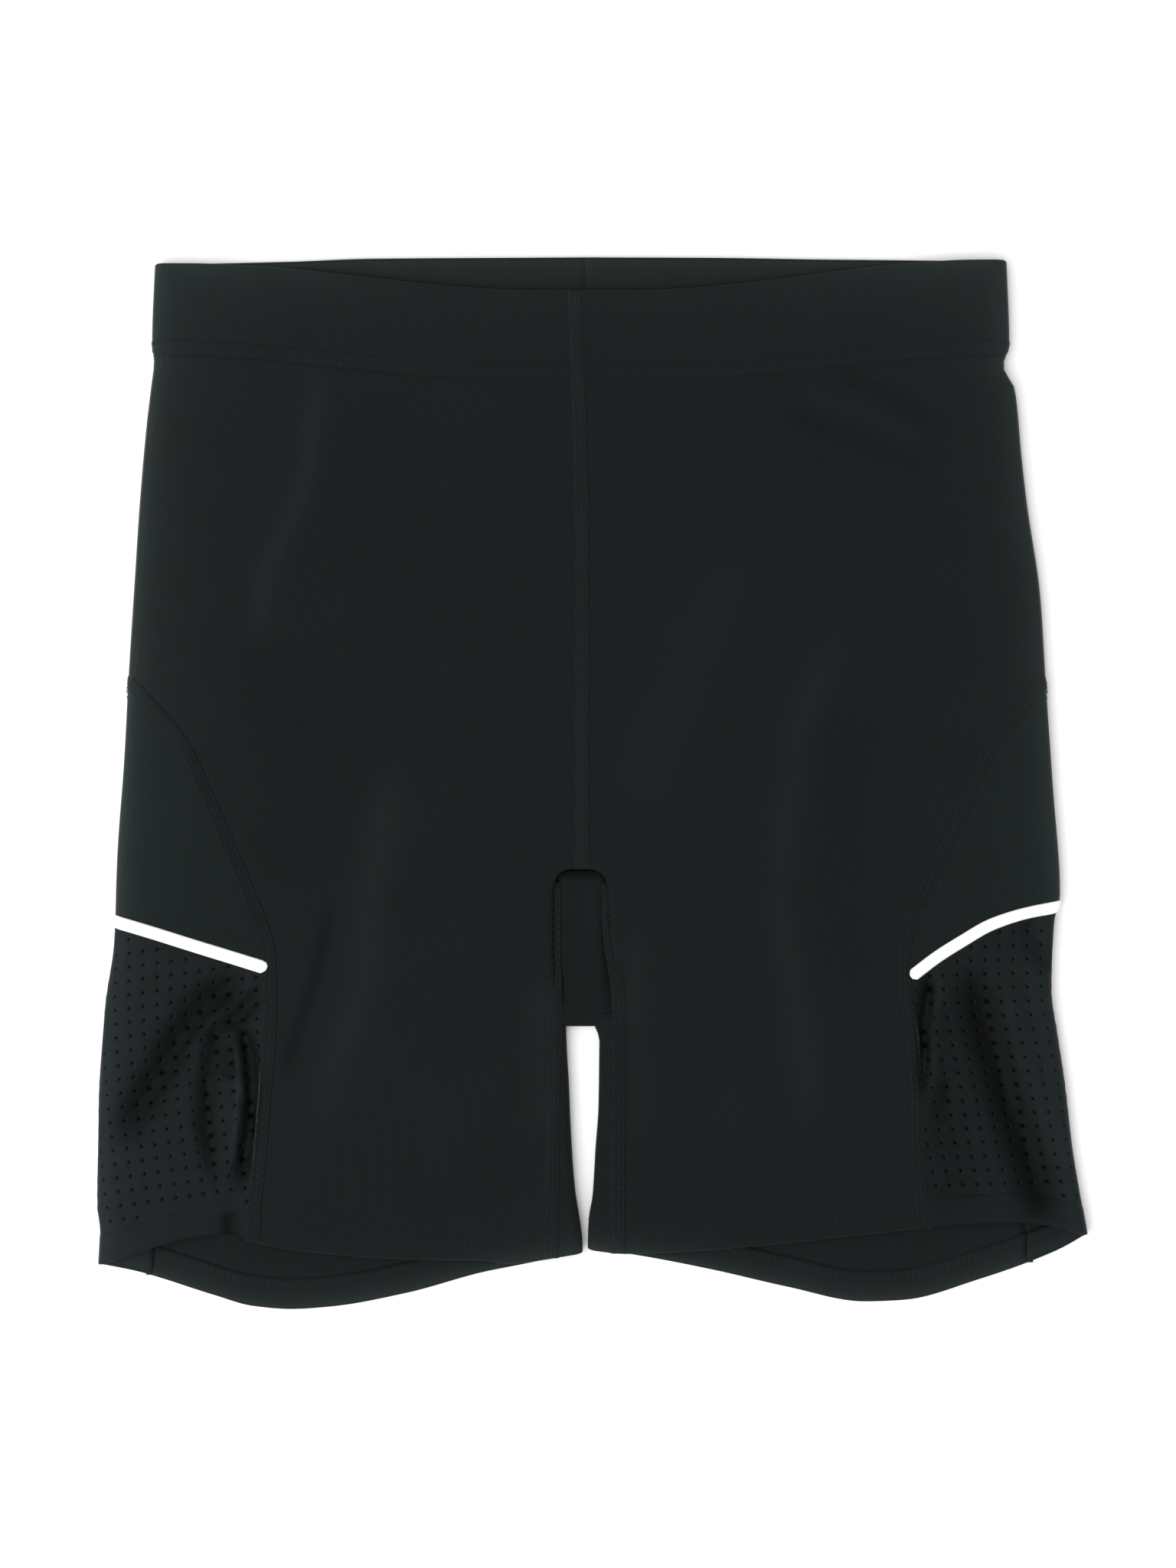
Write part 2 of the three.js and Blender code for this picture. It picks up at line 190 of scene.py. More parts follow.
class Half:
    """One half of the shorts as it lies. Its outlines are in millimetres from the frame's origin, and
    distances across it count outwards from the middle."""

    def __init__(self, name, sign, **lines):
        self.name, self.sign = name, sign
        self.body = f"{name}_half"
        self.edge = lines["edge"]  # the side fold, by height
        self.seam = lines["seam"]  # the side seam and leg seam, along the cloth from the fold, by height
        self.seam_back = lines["seam_back"]  # the same seam on the back layer
        self.tape = lines["tape"]  # height of the reflective tape's middle, by the same distance
        self.waist_back = lines["waist_back"]
        self.hem_front = lines["hem_front"]
        self.hem_back = lines["hem_back"]
        self.slot = lines["slot"]  # the leg's inner fold, by height
        self.rim = lines["rim"]  # the front panel's edge at the gusset and the inseam, by height
        self.painted_side_light = lines["painted_side_light"]  # painted light: how much brighter the cloth is painted towards the side fold
        self.furrow = lines["furrow"]  # heights between which the inseam goes down beside the gusset
        self.corner = self.waist_back(self.edge(WAIST_TOP))

    def cloth(self, u, y):
        """How far along the cloth from the side fold a place u from the middle is."""
        return self.edge(y) - FOLD - u + QUARTER

    def width(self, y):
        """From the side fold to the leg's inner fold, along the cloth."""
        return self.cloth(self.slot(y) + INNER, y) + INNER_QUARTER

    def across(self, c, y):
        """How far from the middle a point of cloth is, how much it faces sideways, and its layer: 1 or -1."""
        layer = 1 if c >= 0 else -1
        along = abs(c)
        to_inner = 1e9
        if y < LEG_TOP:
            width = self.width(y)
            if along > width:
                layer, along = -layer, 2 * width - along
            to_inner = width - along
        if along < QUARTER:
            turn = along / FOLD
            return self.edge(y) - FOLD * (1 - math.cos(turn)), math.cos(turn), layer
        if to_inner < INNER_QUARTER:
            turn = to_inner / INNER
            return self.slot(y) + INNER * (1 - math.cos(turn)), -math.cos(turn), layer
        return self.edge(y) - FOLD - along + QUARTER, 0.0, layer

    def back_seam(self, y):
        """The back seam's place in the cloth."""
        return -self.seam_back(y)

    def hem(self, c, y):
        u, _, layer = self.across(c, y)
        return self.hem_front(u) if layer > 0 else self.hem_back(u)

    def waist_edge(self, c, y):
        u, _, layer = self.across(c, y)
        if layer < 0:
            return mix(self.waist_back(u), self.corner, smooth(-12, 0, c))
        return mix(FRONT_EDGE, self.corner, smooth(20, 165, u))

    def waist_seam(self, c, y):
        u, _, layer = self.across(c, y)
        return mix(FRONT_SEAM if layer > 0 else BACK_SEAM, CORNER_SEAM, smooth(40, 172, u))


RIGHT = Half(
    "right",
    -1,
    edge=Line(
        (217, 180.2), (183, 181.4), (176, 180.6), (165, 181.8), (150, 183.6), (116, 186.6), (87, 188.5),
        (48, 191.0), (10, 193.0), (-28, 195.8), (-66, 197.4), (-95, 201.3), (-134, 203.8), (-176, 204.4),
        (-188, 203.2), (-201, 203.8),
    ),
    seam=Line(
        (46, 0), (32.8, 12), (19.4, 24.7), (-7.2, 39.3), (-40.2, 55.4), (-72.2, 68.3), (-104.5, 72.7),
        (-144, 71.4), (-200, 66.0),
    ),
    seam_back=Line((46, 0), (30, 5.5), (0, 13.5), (-40, 20.5), (-80, 24), (-120, 25), (-210, 25)),
    tape=Line((0, -56.9), (16.8, -61.8), (37.5, -68.2), (55.2, -73.5), (74, -79.1)),
    waist_back=Line((0, 219.6), (91, 219), (123, 217.8), (180, 216.5)),
    hem_front=Line(
        (1.3, -196), (34, -200.5), (41.6, -199.2), (69, -198.9), (112, -196), (137.6, -192), (149.4, -188),
        (160, -189), (203.8, -201),
    ),
    hem_back=Line(
        (1.3, -196), (27.5, -201.4), (43.5, -204.6), (75.5, -213.3), (107.5, -219), (123.5, -220),
        (139.5, -218.7), (155.5, -214.2), (187.5, -204.3), (203.8, -201),
    ),
    slot=Line(
        (-104, 8.3), (-114.4, 7.8), (-124, 7.2), (-143, 6.4), (-162.4, 5.2), (-172, 4.2), (-181.6, 2.6),
        (-191.2, 1.3),
    ),
    rim=Line((-41, 14.0), (-70, 14.0), (-88, 13.1), (-197, 14.4)),
    furrow=(-90, -74),
    painted_side_light=0.7,
)
LEFT = Half(
    "left",
    1,
    edge=Line(
        (218, 175.7), (183, 176.9), (174, 174.4), (164, 179.2), (135, 182.1), (116, 184.3), (78, 189.8),
        (39, 192.3), (1, 194.9), (-47, 198.1), (-58, 195.8), (-86, 194.6), (-105, 197.1), (-124, 200),
        (-153, 203.5), (-172, 206.7), (-188.6, 209.6),
    ),
    seam=Line(
        (46, 0), (33, 12), (19.4, 24.7), (-7, 39), (-21.6, 46.7), (-47.2, 60), (-66, 64.5), (-104, 63.5),
        (-157.6, 67.9), (-196, 71.5),
    ),
    seam_back=Line((46, 0), (30, 5.5), (0, 13.5), (-40, 21), (-80, 25), (-120, 27), (-210, 28)),
    tape=Line(
        (0, -51.1), (15.5, -54.2), (29.4, -59), (40.4, -65.6), (51.4, -72.8), (58.7, -78.6), (70, -87.4),
    ),
    waist_back=Line((0, 219.6), (52, 219.4), (100, 218.7), (176, 218)),
    hem_front=Line(
        (0.6, -194.5), (17.3, -196.3), (32, -196), (74.9, -192.8), (106.9, -189.3), (137.3, -186.1),
        (144, -185.4), (182.4, -183.2), (209.6, -188.6),
    ),
    hem_back=Line(
        (0.6, -194.5), (20.5, -197.3), (52.5, -203.4), (84.5, -210.7), (116.5, -216.8), (132.5, -216.2),
        (164.5, -207.5), (196.5, -195.7), (209.6, -188.6),
    ),
    slot=Line(
        (-102, 3.6), (-107, 5.5), (-114.4, 5.4), (-135, 5.1), (-152.8, 3.8), (-172, 2.6), (-181.6, 1.0),
        (-191, 0.6),
    ),
    rim=Line((-41, 9.4), (-66, 10.6), (-80, 12.6), (-90, 13.8), (-197, 13.4)),
    furrow=(-80, -62),
    painted_side_light=0.4,
)
HALVES = (RIGHT, LEFT)
CENTRE_FRONT = Line((-36, -1.6), (100, -1.6), (210, -4.8))  # x of the centre front seam, by height

# Creases in the cloth of the front layer: half width, height, and the points that they run through.
CREASES = (
    (
        4.8, -3.3, (-141, -79), (-150, -87), (-158.5, -92), (-169.5, -106), (-176.5, -119), (-185, -133),
        (-195, -155),
    ),
    (2.4, -2.4, (-133, -82), (-143, -96), (-155, -104), (-157.6, -124), (-158.7, -142), (-153, -172)),
    (2.4, -3.6, (-146, -96), (-140.5, -114), (-139.3, -128), (-141.6, -148), (-145, -172)),
    (3.0, -1.6, (-150, -104), (-149, -114), (-149, -124)),
    (1.2, 1.7, (-147.6, -98), (-143.9, -123.6), (-145, -142), (-147.6, -164)),
    (1.8, 0.7, (-136, -80), (-148, -90), (-160, -103), (-170, -116)),
    (2.2, -2.0, (-148, -178), (-147.8, -193)),
    (1.5, -3.6, (143.8, -78), (141.2, -101), (140.6, -132)),
    (5.2, -3.7, (160, -70), (168.6, -105), (176.6, -132), (187, -161), (195, -186)),
    (3.0, -0.9, (183, -55), (188, -67), (194, -80)),
    (4.0, 0.35, (168.6, -76), (187, -132), (197, -163)),
    (2.5, -0.9, (152, -122), (150, -132), (148, -142)),
    (9.0, -0.9, (150, -84), (154, -130), (160, -186)),
    (1.9, -0.9, (-105, -44), (-112, -78), (-119, -100), (-128, -126)),
    (1.3, -0.4, (-169, 22), (-157, -7), (-143, -40), (-132, -72)),
    (3.2, 0.4, (-111, 186), (-115, 136), (-120, 118), (-134, 88), (-138, 50)),
    (5.8, 0.35, (-78, 18), (-90, -45), (-92, -82), (-116, -154)),
    (8.0, 0.2, (66, 104), (36, 33), (18, -14)),
    (5.2, 0.32, (108, 74), (88, 20), (81, -50), (91, -108), (95, -150)),
    (4.0, 0.25, (20, -56), (22, -100), (24, -155)),
    (4.0, 0.2, (-20, -78), (-18, -150)),
    (3.0, -0.45, (78, 156), (104, 147), (121, 140), (150, 127)),
    (2.6, -0.6, (102, 172), (124, 163), (149, 149)),
    (3.0, 0.12, (88, 164), (116, 154), (142, 141)),
    (14.0, -0.25, (-126, 70), (-118, 10), (-121, -50)),
    (12.0, -0.2, (112, 40), (104, -30), (110, -100)),
)


def crease_height(x, y):
    """How far the creases lift the front layer, or press it down where it's less than nothing."""
    total = 0.0
    for width, height, *points in CREASES:
        reach = 3 * width
        xs, ys = [p[0] for p in points], [p[1] for p in points]
        if not (min(xs) - reach < x < max(xs) + reach and min(ys) - reach < y < max(ys) + reach):
            continue
        nearest, share = 1e9, 0.0
        for i, (a, b) in enumerate(zip(points, points[1:])):
            run = (b[0] - a[0], b[1] - a[1])
            t = ((x - a[0]) * run[0] + (y - a[1]) * run[1]) / (run[0] ** 2 + run[1] ** 2)
            t = min(max(t, 0.0), 1.0)
            off = math.hypot(x - a[0] - run[0] * t, y - a[1] - run[1] * t)
            if off < nearest:
                nearest, share = off, (i + t) / (len(points) - 1)
        ends = smooth(0, 0.18, share) * smooth(0, 0.18, 1 - share)
        total += height * ends * math.exp(-0.5 * (nearest / width) ** 2)
    return total


def front_height(half, u, y):
    """Height of the front layer's outer face."""
    x = half.sign * u
    inside = smooth(2, 62, half.edge(y) - u)
    leg = smooth(-LEG_TOP - 20, -LEG_TOP + 25, -y)
    inside *= mix(1.0, smooth(0, 34, u - half.slot(y)), leg)
    cloudy = 0.5 * noise.noise(Vector((x / 62, y / 74, 0.4))) + 0.1 * noise.noise(Vector((x / 21, y / 24, 5)))
    near_hem = smooth(150, 205, -y) * 0.9
    near_waist = smooth(160, 205, y) * 0.5
    return LOFT - SAG * inside - near_hem * inside - near_waist + cloudy + crease_height(x, y)


def brightness(half, c, y):
    """Painted light and shade: the share of plain cloth's colour that the cloth is painted with there. It is
    painted brighter towards the outline, the side folds and the waist, with a painted highlight along the
    tops of its creases and painted shade down in them."""
    u, _, layer = half.across(c, y)
    side = max(half.edge(y) - u, 0.0)
    from_hem = max(y - min(half.hem_front(u), half.hem_back(u)), 0.0)
    from_waist = max(half.waist_back(u) - y, 0.0)
    nearest = min(side, from_hem, from_waist + WAIST_EDGE_LIGHT_SHIFT)
    # painted light towards the outline, and towards the side fold and the waist
    shown = 1 + PAINTED_OUTLINE_LIGHT * math.exp(-nearest / OUTLINE_REACH)
    shown += half.painted_side_light * math.exp(-side / PAINTED_LIGHT_REACH) + PAINTED_WAIST_LIGHT * math.exp(-from_waist / PAINTED_LIGHT_REACH)
    if layer < 0:
        return shown
    # painted highlight on the creases' tops and painted shade down in them
    crease = crease_height(half.sign * u, y)
    return shown * (1 + PAINTED_CREASE_HIGHLIGHT * crease if crease > 0 else math.exp(PAINTED_CREASE_SHADE * crease))


def back_height(x, y):
    """Height of the back layer's outer face, which all but touches the floor."""
    return FLOOR_GAP + 0.2 * abs(noise.noise(Vector((x / 40, y / 50, 9.0))))


def place(half, c, y, lift=0.0):
    """Where a point of cloth lies, in metres."""
    u, sideways, layer = half.across(c, y)
    upright = math.sqrt(max(0.0, 1 - sideways * sideways))
    x = half.sign * u
    outer = front_height(half, u, y) if layer > 0 else back_height(x, y)
    z = MIDDLE + (outer - MIDDLE) * upright
    x += half.sign * sideways * lift
    z += layer * upright * lift
    return Vector((x * FIT[0], y * FIT[1], z)) * MM


# ---------- Cutting cloth flat ----------


def patch(bm, columns, rows, left, right, low, high, lift=0.0):
    """Part of a piece of cloth, cut flat: between two lines by height, left(y) and right(y), and between two
    by place, low(c, y) and high(c, y)."""
    made = bmesh.ops.create_grid(bm, x_segments=columns, y_segments=rows, size=0.5)
    for vert in made["verts"]:
        s, t = vert.co.x + 0.5, vert.co.y + 0.5
        y = 0.0
        c = mix(left(y), right(y), s)
        for _ in range(5):
            y = mix(low(c, y), high(c, y), t)
            c = mix(left(y), right(y), s)
        vert.co = (c, y, lift)
    face_up(bm, made["verts"])


def face_up(bm, verts):
    """Turns a newly cut piece's faces to its outer side."""
    faces = {face for vert in verts for face in vert.link_faces}
    bm.normal_update()
    if sum(face.normal.z for face in faces) < 0:
        bmesh.ops.reverse_faces(bm, faces=list(faces))


def level(y):
    return lambda c, _: y


def weld(bm):
    bmesh.ops.remove_doubles(bm, verts=bm.verts, dist=0.02)


def roll(bm, chosen, steps):
    """Turns a raw edge of flat cloth over, by steps of (c, y, lift). chosen(vert) says which edge it is."""
    edges = [e for e in bm.edges if e.is_boundary and all(chosen(v) for v in e.verts)]
    for step in steps:
        made = bmesh.ops.extrude_edge_only(bm, edges=edges)["geom"]
        verts = {g for g in made if isinstance(g, bmesh.types.BMVert)}
        bmesh.ops.translate(bm, verts=list(verts), vec=step)
        edges = [g for g in made if isinstance(g, bmesh.types.BMEdge) and g.is_boundary]
        edges = [e for e in edges if all(v in verts for v in e.verts)]


def half_turn(radius, upwards, steps=4):
    """Steps that carry cloth round a fold of that radius to its inner side."""
    turns = [math.pi * i / steps for i in range(steps + 1)]
    return [
        (0.0, upwards * radius * (math.sin(b) - math.sin(a)), radius * (math.cos(b) - math.cos(a)))
        for a, b in zip(turns, turns[1:])
    ]


def flat_area(bm):
    """The cut's area in square metres."""
    return sum(face.calc_area() for face in bm.faces) * MM * MM


def flat_box(bm):
    """Width and length of the rectangle that the cut fits in, in metres."""
    return [(max(v.co[i] for v in bm.verts) - min(v.co[i] for v in bm.verts)) * MM for i in range(2)]


def lay(bm, half, share=1.0):
    """Lays flat cloth on the half, with its outer side out, and keeps where it was cut as its UV map. It also
    stores on each point the painted light and shade that its colour is scaled by. The share makes it brighter
    or darker than the cloth around it."""
    uv = bm.loops.layers.uv.new("UVMap")
    for face in bm.faces:
        for loop in face.loops:
            loop[uv].uv = (loop.vert.co.x * MM, loop.vert.co.y * MM)
    # painted light and shade for each point, which the material multiplies into the cloth's colour
    shade = bm.verts.layers.float.new("brightness")
    for vert in bm.verts:
        vert[shade] = share * brightness(half, vert.co.x, vert.co.y)
        vert.co = place(half, *vert.co)
    if half.sign > 0:  # laying mirrors the cloth on this half
        bmesh.ops.reverse_faces(bm, faces=bm.faces)


class Route:
    """A line on the cloth through (c, y) points, known by the distance along it."""

    def __init__(self, points, rounds=0):
        points = [Vector(p) for p in points]
        for _ in range(rounds):
            middles = [(a + 2 * b + c) / 4 for a, b, c in zip(points, points[1:], points[2:])]
            points = [points[0], *middles, points[-1]]
        self.points = points
        self.reached = [0.0]
        for a, b in zip(points, points[1:]):
            self.reached.append(self.reached[-1] + (b - a).length)
        self.length = self.reached[-1]

    def at(self, distance):
        i = min(max(bisect_right(self.reached, distance) - 1, 0), len(self.points) - 2)
        span = self.reached[i + 1] - self.reached[i]
        return self.points[i].lerp(self.points[i + 1], (distance - self.reached[i]) / span)

    def beside(self, distance, off):
        """The point off to the left of the line there."""
        ahead = self.at(min(distance + 1.5, self.length)) - self.at(max(distance - 1.5, 0.0))
        ahead.normalize()
        return self.at(distance) + Vector((-ahead.y, ahead.x)) * off


def strip(bm, route, width, lifts, shape=None, step=3.0):
    """A narrow strip of cloth along a route, lifted across its width as the list says. A shape gives, by the
    distance along the route, the share of the width that it has there and how deep it lies."""
    columns, rows = len(lifts) - 1, max(2, round(route.length / step))
    verts = bmesh.ops.create_grid(bm, x_segments=columns, y_segments=rows, size=0.5)["verts"]
    for vert in verts:
        s, t = vert.co.x + 0.5, vert.co.y + 0.5
        at = route.length * t
        share, depth = shape(at) if shape else (1.0, 0.0)
        point = route.beside(at, (0.5 - s) * width * share)
        vert.co = (point.x, point.y, lifts[round(s * columns)] - depth)
    face_up(bm, verts)


def thicken(bm, thickness):
    """Gives laid cloth its thickness, inwards, as one closed shell."""
    bm.normal_update()
    bmesh.ops.solidify(bm, geom=bm.faces[:], thickness=thickness * MM)


def thread(bm, start, end, thickness):
    """One stitch's thread on the surface, from start to end: a bead drawn out along it."""
    along = end - start
    turn = along.to_track_quat("X", "Z").to_matrix().to_4x4()
    size = Matrix.Diagonal((along.length / 2, thickness / 2 * MM, thickness / 2 * MM, 1))
    matrix = Matrix.Translation((start + end) / 2) @ turn @ size
    faces_before = len(bm.faces)
    bmesh.ops.create_icosphere(bm, subdivisions=1, radius=1, matrix=matrix)
    bm.faces.ensure_lookup_table()
    for face in bm.faces[faces_before:]:
        face.material_index = 1


def straight_stitches(bm, half, route, offs, sizes, lift, inset=0.0, shape=None):
    """Rows of stitches along a route, one row for each distance off it, which start and end that far from its
    ends. The shape is as for a strip."""
    start, end = inset, route.length - inset
    pitch = (sizes.stitch_length + sizes.stitch_gap) / MM
    length = sizes.stitch_length / MM
    for row, off in enumerate(offs):
        for i in range(int((end - start) / pitch)):
            from_start = start + (i + 0.25 * row) * pitch
            if from_start + length > end:
                continue
            share, depth = shape(from_start) if shape else (1.0, 0.0)
            a, b = route.beside(from_start, off * share), route.beside(from_start + length, off * share)
            thread(bm, place(half, *a, lift - depth), place(half, *b, lift - depth), sizes.thread / MM)


def cross_stitches(bm, half, route, off, height, pitch, sizes, lift, slant=0.0):
    """A row of short threads across a route."""
    for i in range(int(route.length / pitch)):
        at = (i + 0.5) * pitch
        a = route.beside(at, off - height / 2)
        b = route.beside(min(at + slant, route.length), off + height / 2)
        thread(bm, place(half, *a, lift), place(half, *b, lift), sizes.thread * 0.85 / MM)


# ---------- Materials ----------


def linear(colour):
    """An sRGB hex colour as linear red, green and blue."""
    parts = [int(colour[i : i + 2], 16) / 255 for i in (1, 3, 5)]
    return [p / 12.92 if p <= 0.04045 else ((p + 0.055) / 1.055) ** 2.4 for p in parts]


def add(tree, kind, values=None, links=None, **settings):
    """Adds a shader node. Settings are its own, values go on its sockets, and links join sockets to it."""
    made = tree.nodes.new(kind)
    for name, value in settings.items():
        setattr(made, name, value)
    for socket, value in (values or {}).items():
        made.inputs[socket].default_value = value
    for socket, source in (links or {}).items():
        tree.links.new(source, made.inputs[socket])
    return made


def waves(millimetres):
    """The Wave Texture scale that repeats every so many millimetres."""
    return 2 * math.pi / 20 / (millimetres * MM)


def grains(millimetres):
    """The Noise or Voronoi Texture scale whose grains are about that size."""
    return 1 / (millimetres * MM)


def shader(name, colour, roughness, coordinates="UV", **values):
    """A new material: its node tree, its surface and the coordinates that its patterns follow."""
    material = bpy.data.materials.new(name)
    material.use_nodes = True
    tree = material.node_tree
    surface = tree.nodes["Principled BSDF"]
    surface.inputs["Base Color"].default_value = (*colour, 1)
    surface.inputs["Roughness"].default_value = roughness
    for socket, value in values.items():
        surface.inputs[socket.replace("_", " ")].default_value = value
    where = add(tree, "ShaderNodeTexCoord").outputs[coordinates]
    return material, tree, surface, where


def tint(tree, surface, colour, factor, darkest, lightest, laid=False):
    """Varies the surface's colour between two shares of it, by a factor from 0 to 1. Laid cloth's painted
    light and shade, kept on its points, scales that colour on top."""
    shades = [(*[part * share for part in colour], 1) for share in (darkest, lightest)]
    shade = add(tree, "ShaderNodeMix", {6: shades[0], 7: shades[1]}, {0: factor}, data_type="RGBA")
    shown = shade.outputs[2]
    if laid:
        # painted light and shade, kept on the laid cloth's points
        share = add(tree, "ShaderNodeAttribute", attribute_name="brightness").outputs["Fac"]
        scaled = add(tree, "ShaderNodeVectorMath", {}, {0: shown, "Scale": share}, operation="SCALE")
        shown = scaled.outputs[0]
    tree.links.new(shown, surface.inputs["Base Color"])


def jersey(name, colour, wale, fuzz, roughness):
    """Polyester and elastane jersey, circular knitted: fine upright wales, matt, with a faint sheen of loose
    fibre where it's seen edge on. The real wales are about 0.5 mm apart, and are drawn coarser so that they
    show."""
    values = {"Specular_IOR_Level": 0.05, "Sheen_Weight": fuzz, "Sheen_Roughness": 0.45}
    material, tree, surface, where = shader(name, colour, roughness, **values)
    knit = {"Scale": waves(wale), "Distortion": 1.2, "Detail": 2}
    ribs = add(tree, "ShaderNodeTexWave", knit, {"Vector": where})
    fibre = add(tree, "ShaderNodeTexNoise", {"Scale": grains(0.7), "Detail": 3}, {"Vector": where})
    clouds = add(tree, "ShaderNodeTexNoise", {"Scale": grains(38), "Detail": 2}, {"Vector": where})
    rough = add(tree, "ShaderNodeMath", {1: 0.55}, {0: fibre.outputs["Fac"]}, operation="MULTIPLY")
    height = add(tree, "ShaderNodeMath", {}, {0: ribs.outputs["Fac"], 1: rough.outputs[0]}, operation="ADD")
    dark_share = {1: 0.4, 2: -0.47}
    dark = add(tree, "ShaderNodeMath", dark_share, {0: clouds.outputs["Fac"]}, operation="MULTIPLY_ADD")
    both = {0: height.outputs[0], 2: dark.outputs[0]}
    shade = add(tree, "ShaderNodeMath", {1: 0.5}, both, operation="MULTIPLY_ADD")
    tint(tree, surface, colour, shade.outputs[0], 0.78, 1.29, laid=True)
    depth = {"Strength": 0.4, "Distance": 0.1 * MM}
    relief = add(tree, "ShaderNodeBump", depth, {"Height": height.outputs[0]})
    tree.links.new(relief.outputs[0], surface.inputs["Normal"])
    return material


def perforated_cloth(name, colour):
    """Tightly woven nylon, punched with round holes: smoother than the jersey, so its folds catch a soft
    gloss. Its threads are about 0.2 mm, and are drawn at 0.8 mm so that they show."""
    values = {"Specular_IOR_Level": 0.055, "Sheen_Weight": 0.01, "Sheen_Roughness": 0.4}
    material, tree, surface, where = shader(name, colour, 0.52, **values)
    threads = {"Scale": waves(0.8), "Distortion": 0.4}
    across = add(tree, "ShaderNodeTexWave", threads, {"Vector": where})
    along = add(tree, "ShaderNodeTexWave", threads, {"Vector": where}, bands_direction="Y")
    both = {0: across.outputs["Fac"], 1: along.outputs["Fac"]}
    weave = add(tree, "ShaderNodeMath", {}, both, operation="MULTIPLY")
    slubs = add(tree, "ShaderNodeTexNoise", {"Scale": grains(9), "Detail": 4}, {"Vector": where})
    tint(tree, surface, colour, slubs.outputs["Fac"], 0.8, 1.2, laid=True)
    depth = {"Strength": 0.35, "Distance": 0.08 * MM}
    relief = add(tree, "ShaderNodeBump", depth, {"Height": weave.outputs[0]})
    tree.links.new(relief.outputs[0], surface.inputs["Normal"])
    return material


def glass_bead_tape(name, colour):
    """Retroreflective tape, bonded: glass beads in a silver-white resin, an even satin face that throws back
    nearly all of the light. Its near-white colour is partly painted reflection: it also stands in for the
    light that the beads throw straight back towards the lamp. The beads are under 0.1 mm, and are drawn at
    0.5 mm."""
    material, tree, surface, where = shader(name, colour, 0.4, Specular_IOR_Level=0.5)
    beads = add(tree, "ShaderNodeTexVoronoi", {"Scale": grains(0.5)}, {"Vector": where})
    tint(tree, surface, colour, beads.outputs["Distance"], 1.0, 0.93)
    depth = {"Strength": 0.2, "Distance": 0.05 * MM}
    relief = add(tree, "ShaderNodeBump", depth, {"Height": beads.outputs["Distance"]})
    tree.links.new(relief.outputs[0], surface.inputs["Normal"])
    return material


def polyester_thread(name, colour):
    """Textured polyester sewing thread: softer and a little brighter than the cloth, with its twist showing
    as small uneven lights."""
    values = {"Specular_IOR_Level": 0.1, "Sheen_Weight": 0.05}
    material, tree, surface, where = shader(name, colour, 0.6, "Object", **values)
    twist = add(tree, "ShaderNodeTexNoise", {"Scale": grains(0.4), "Detail": 2}, {"Vector": where})
    tint(tree, surface, colour, twist.outputs["Fac"], 0.6, 1.5)
    depth = {"Strength": 0.4, "Distance": 0.06 * MM}
    relief = add(tree, "ShaderNodeBump", depth, {"Height": twist.outputs["Fac"]})
    tree.links.new(relief.outputs[0], surface.inputs["Normal"])
    return material


def woven_elastic(name, colour):
    """Woven elastic band: rubber under close ribs of polyester that run along it, 1.6 mm apart."""
    material, tree, surface, where = shader(name, colour, 0.75, Specular_IOR_Level=0.2)
    cords = {"Scale": waves(1.6), "Distortion": 0.2}
    ribs = add(tree, "ShaderNodeTexWave", cords, {"Vector": where}, bands_direction="Y")
    tint(tree, surface, colour, ribs.outputs["Fac"], 0.6, 1.3)
    depth = {"Strength": 0.6, "Distance": 0.3 * MM}
    relief = add(tree, "ShaderNodeBump", depth, {"Height": ribs.outputs["Fac"]})
    tree.links.new(relief.outputs[0], surface.inputs["Normal"])
    return material


def white_board(name, colour):
    """A board painted matt white, which gives no pattern and no gloss."""
    material, tree, surface, where = shader(name, colour, 0.9, "Object", Specular_IOR_Level=0.1)
    grain = add(tree, "ShaderNodeTexNoise", {"Scale": grains(3), "Detail": 2}, {"Vector": where})
    tint(tree, surface, colour, grain.outputs["Fac"], 0.99, 1.0)
    return material


# Each material's function, the setting that holds its colour, and for jersey its wale in millimetres, its
# sheen and its roughness.
FINISHES = {
    "interlock_jersey": (jersey, "body", 1.3, 0.06, 0.85),
    "side_jersey": (jersey, "side", 1.2, 0.08, 0.85),
    "waistband_jersey": (jersey, "waistband", 1.3, 0.07, 0.85),
    "brushed_jersey": (jersey, "facing", 1.5, 0.12, 0.95),
    "perforated_nylon": (perforated_cloth, "mesh"),
    "glass_bead_tape": (glass_bead_tape, "tape"),
    "polyester_thread": (polyester_thread, "thread"),
    "woven_elastic": (woven_elastic, "elastic"),
    "white_board": (white_board, "floor"),
}


def finish(context, key):
    """The material of that name, made when it's first asked for."""
    made = bpy.data.materials.get(key)
    if made is None:
        maker, colour, *values = FINISHES[key]
        made = maker(key, getattr(context.scene.shorts_colours, colour), *values)
    return made


# ---------- Finished pieces ----------


def piece(context, name, bm, materials, node, body, thickness=None):
    """Makes an object of laid cloth that stands for a node of the frame. body is a body's name, or None for
    cloth that crosses the line the shorts are folded on."""
    mesh = bpy.data.meshes.new(name)
    bm.to_mesh(mesh)
    bm.free()
    mesh.shade_smooth()
    for key in materials:
        mesh.materials.append(finish(context, key))
    made = bpy.data.objects.new(name, mesh)
    context.scene.collection.objects.link(made)
    if thickness:
        shell = made.modifiers.new("thickness", "SOLIDIFY")
        shell.thickness = thickness
        shell.offset = -1
    if body is None:
        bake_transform(made)
    else:
        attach(made, body)
    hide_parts(node)
    return made


def panel_name(half, part):
    return f"{half.name}_{part}"


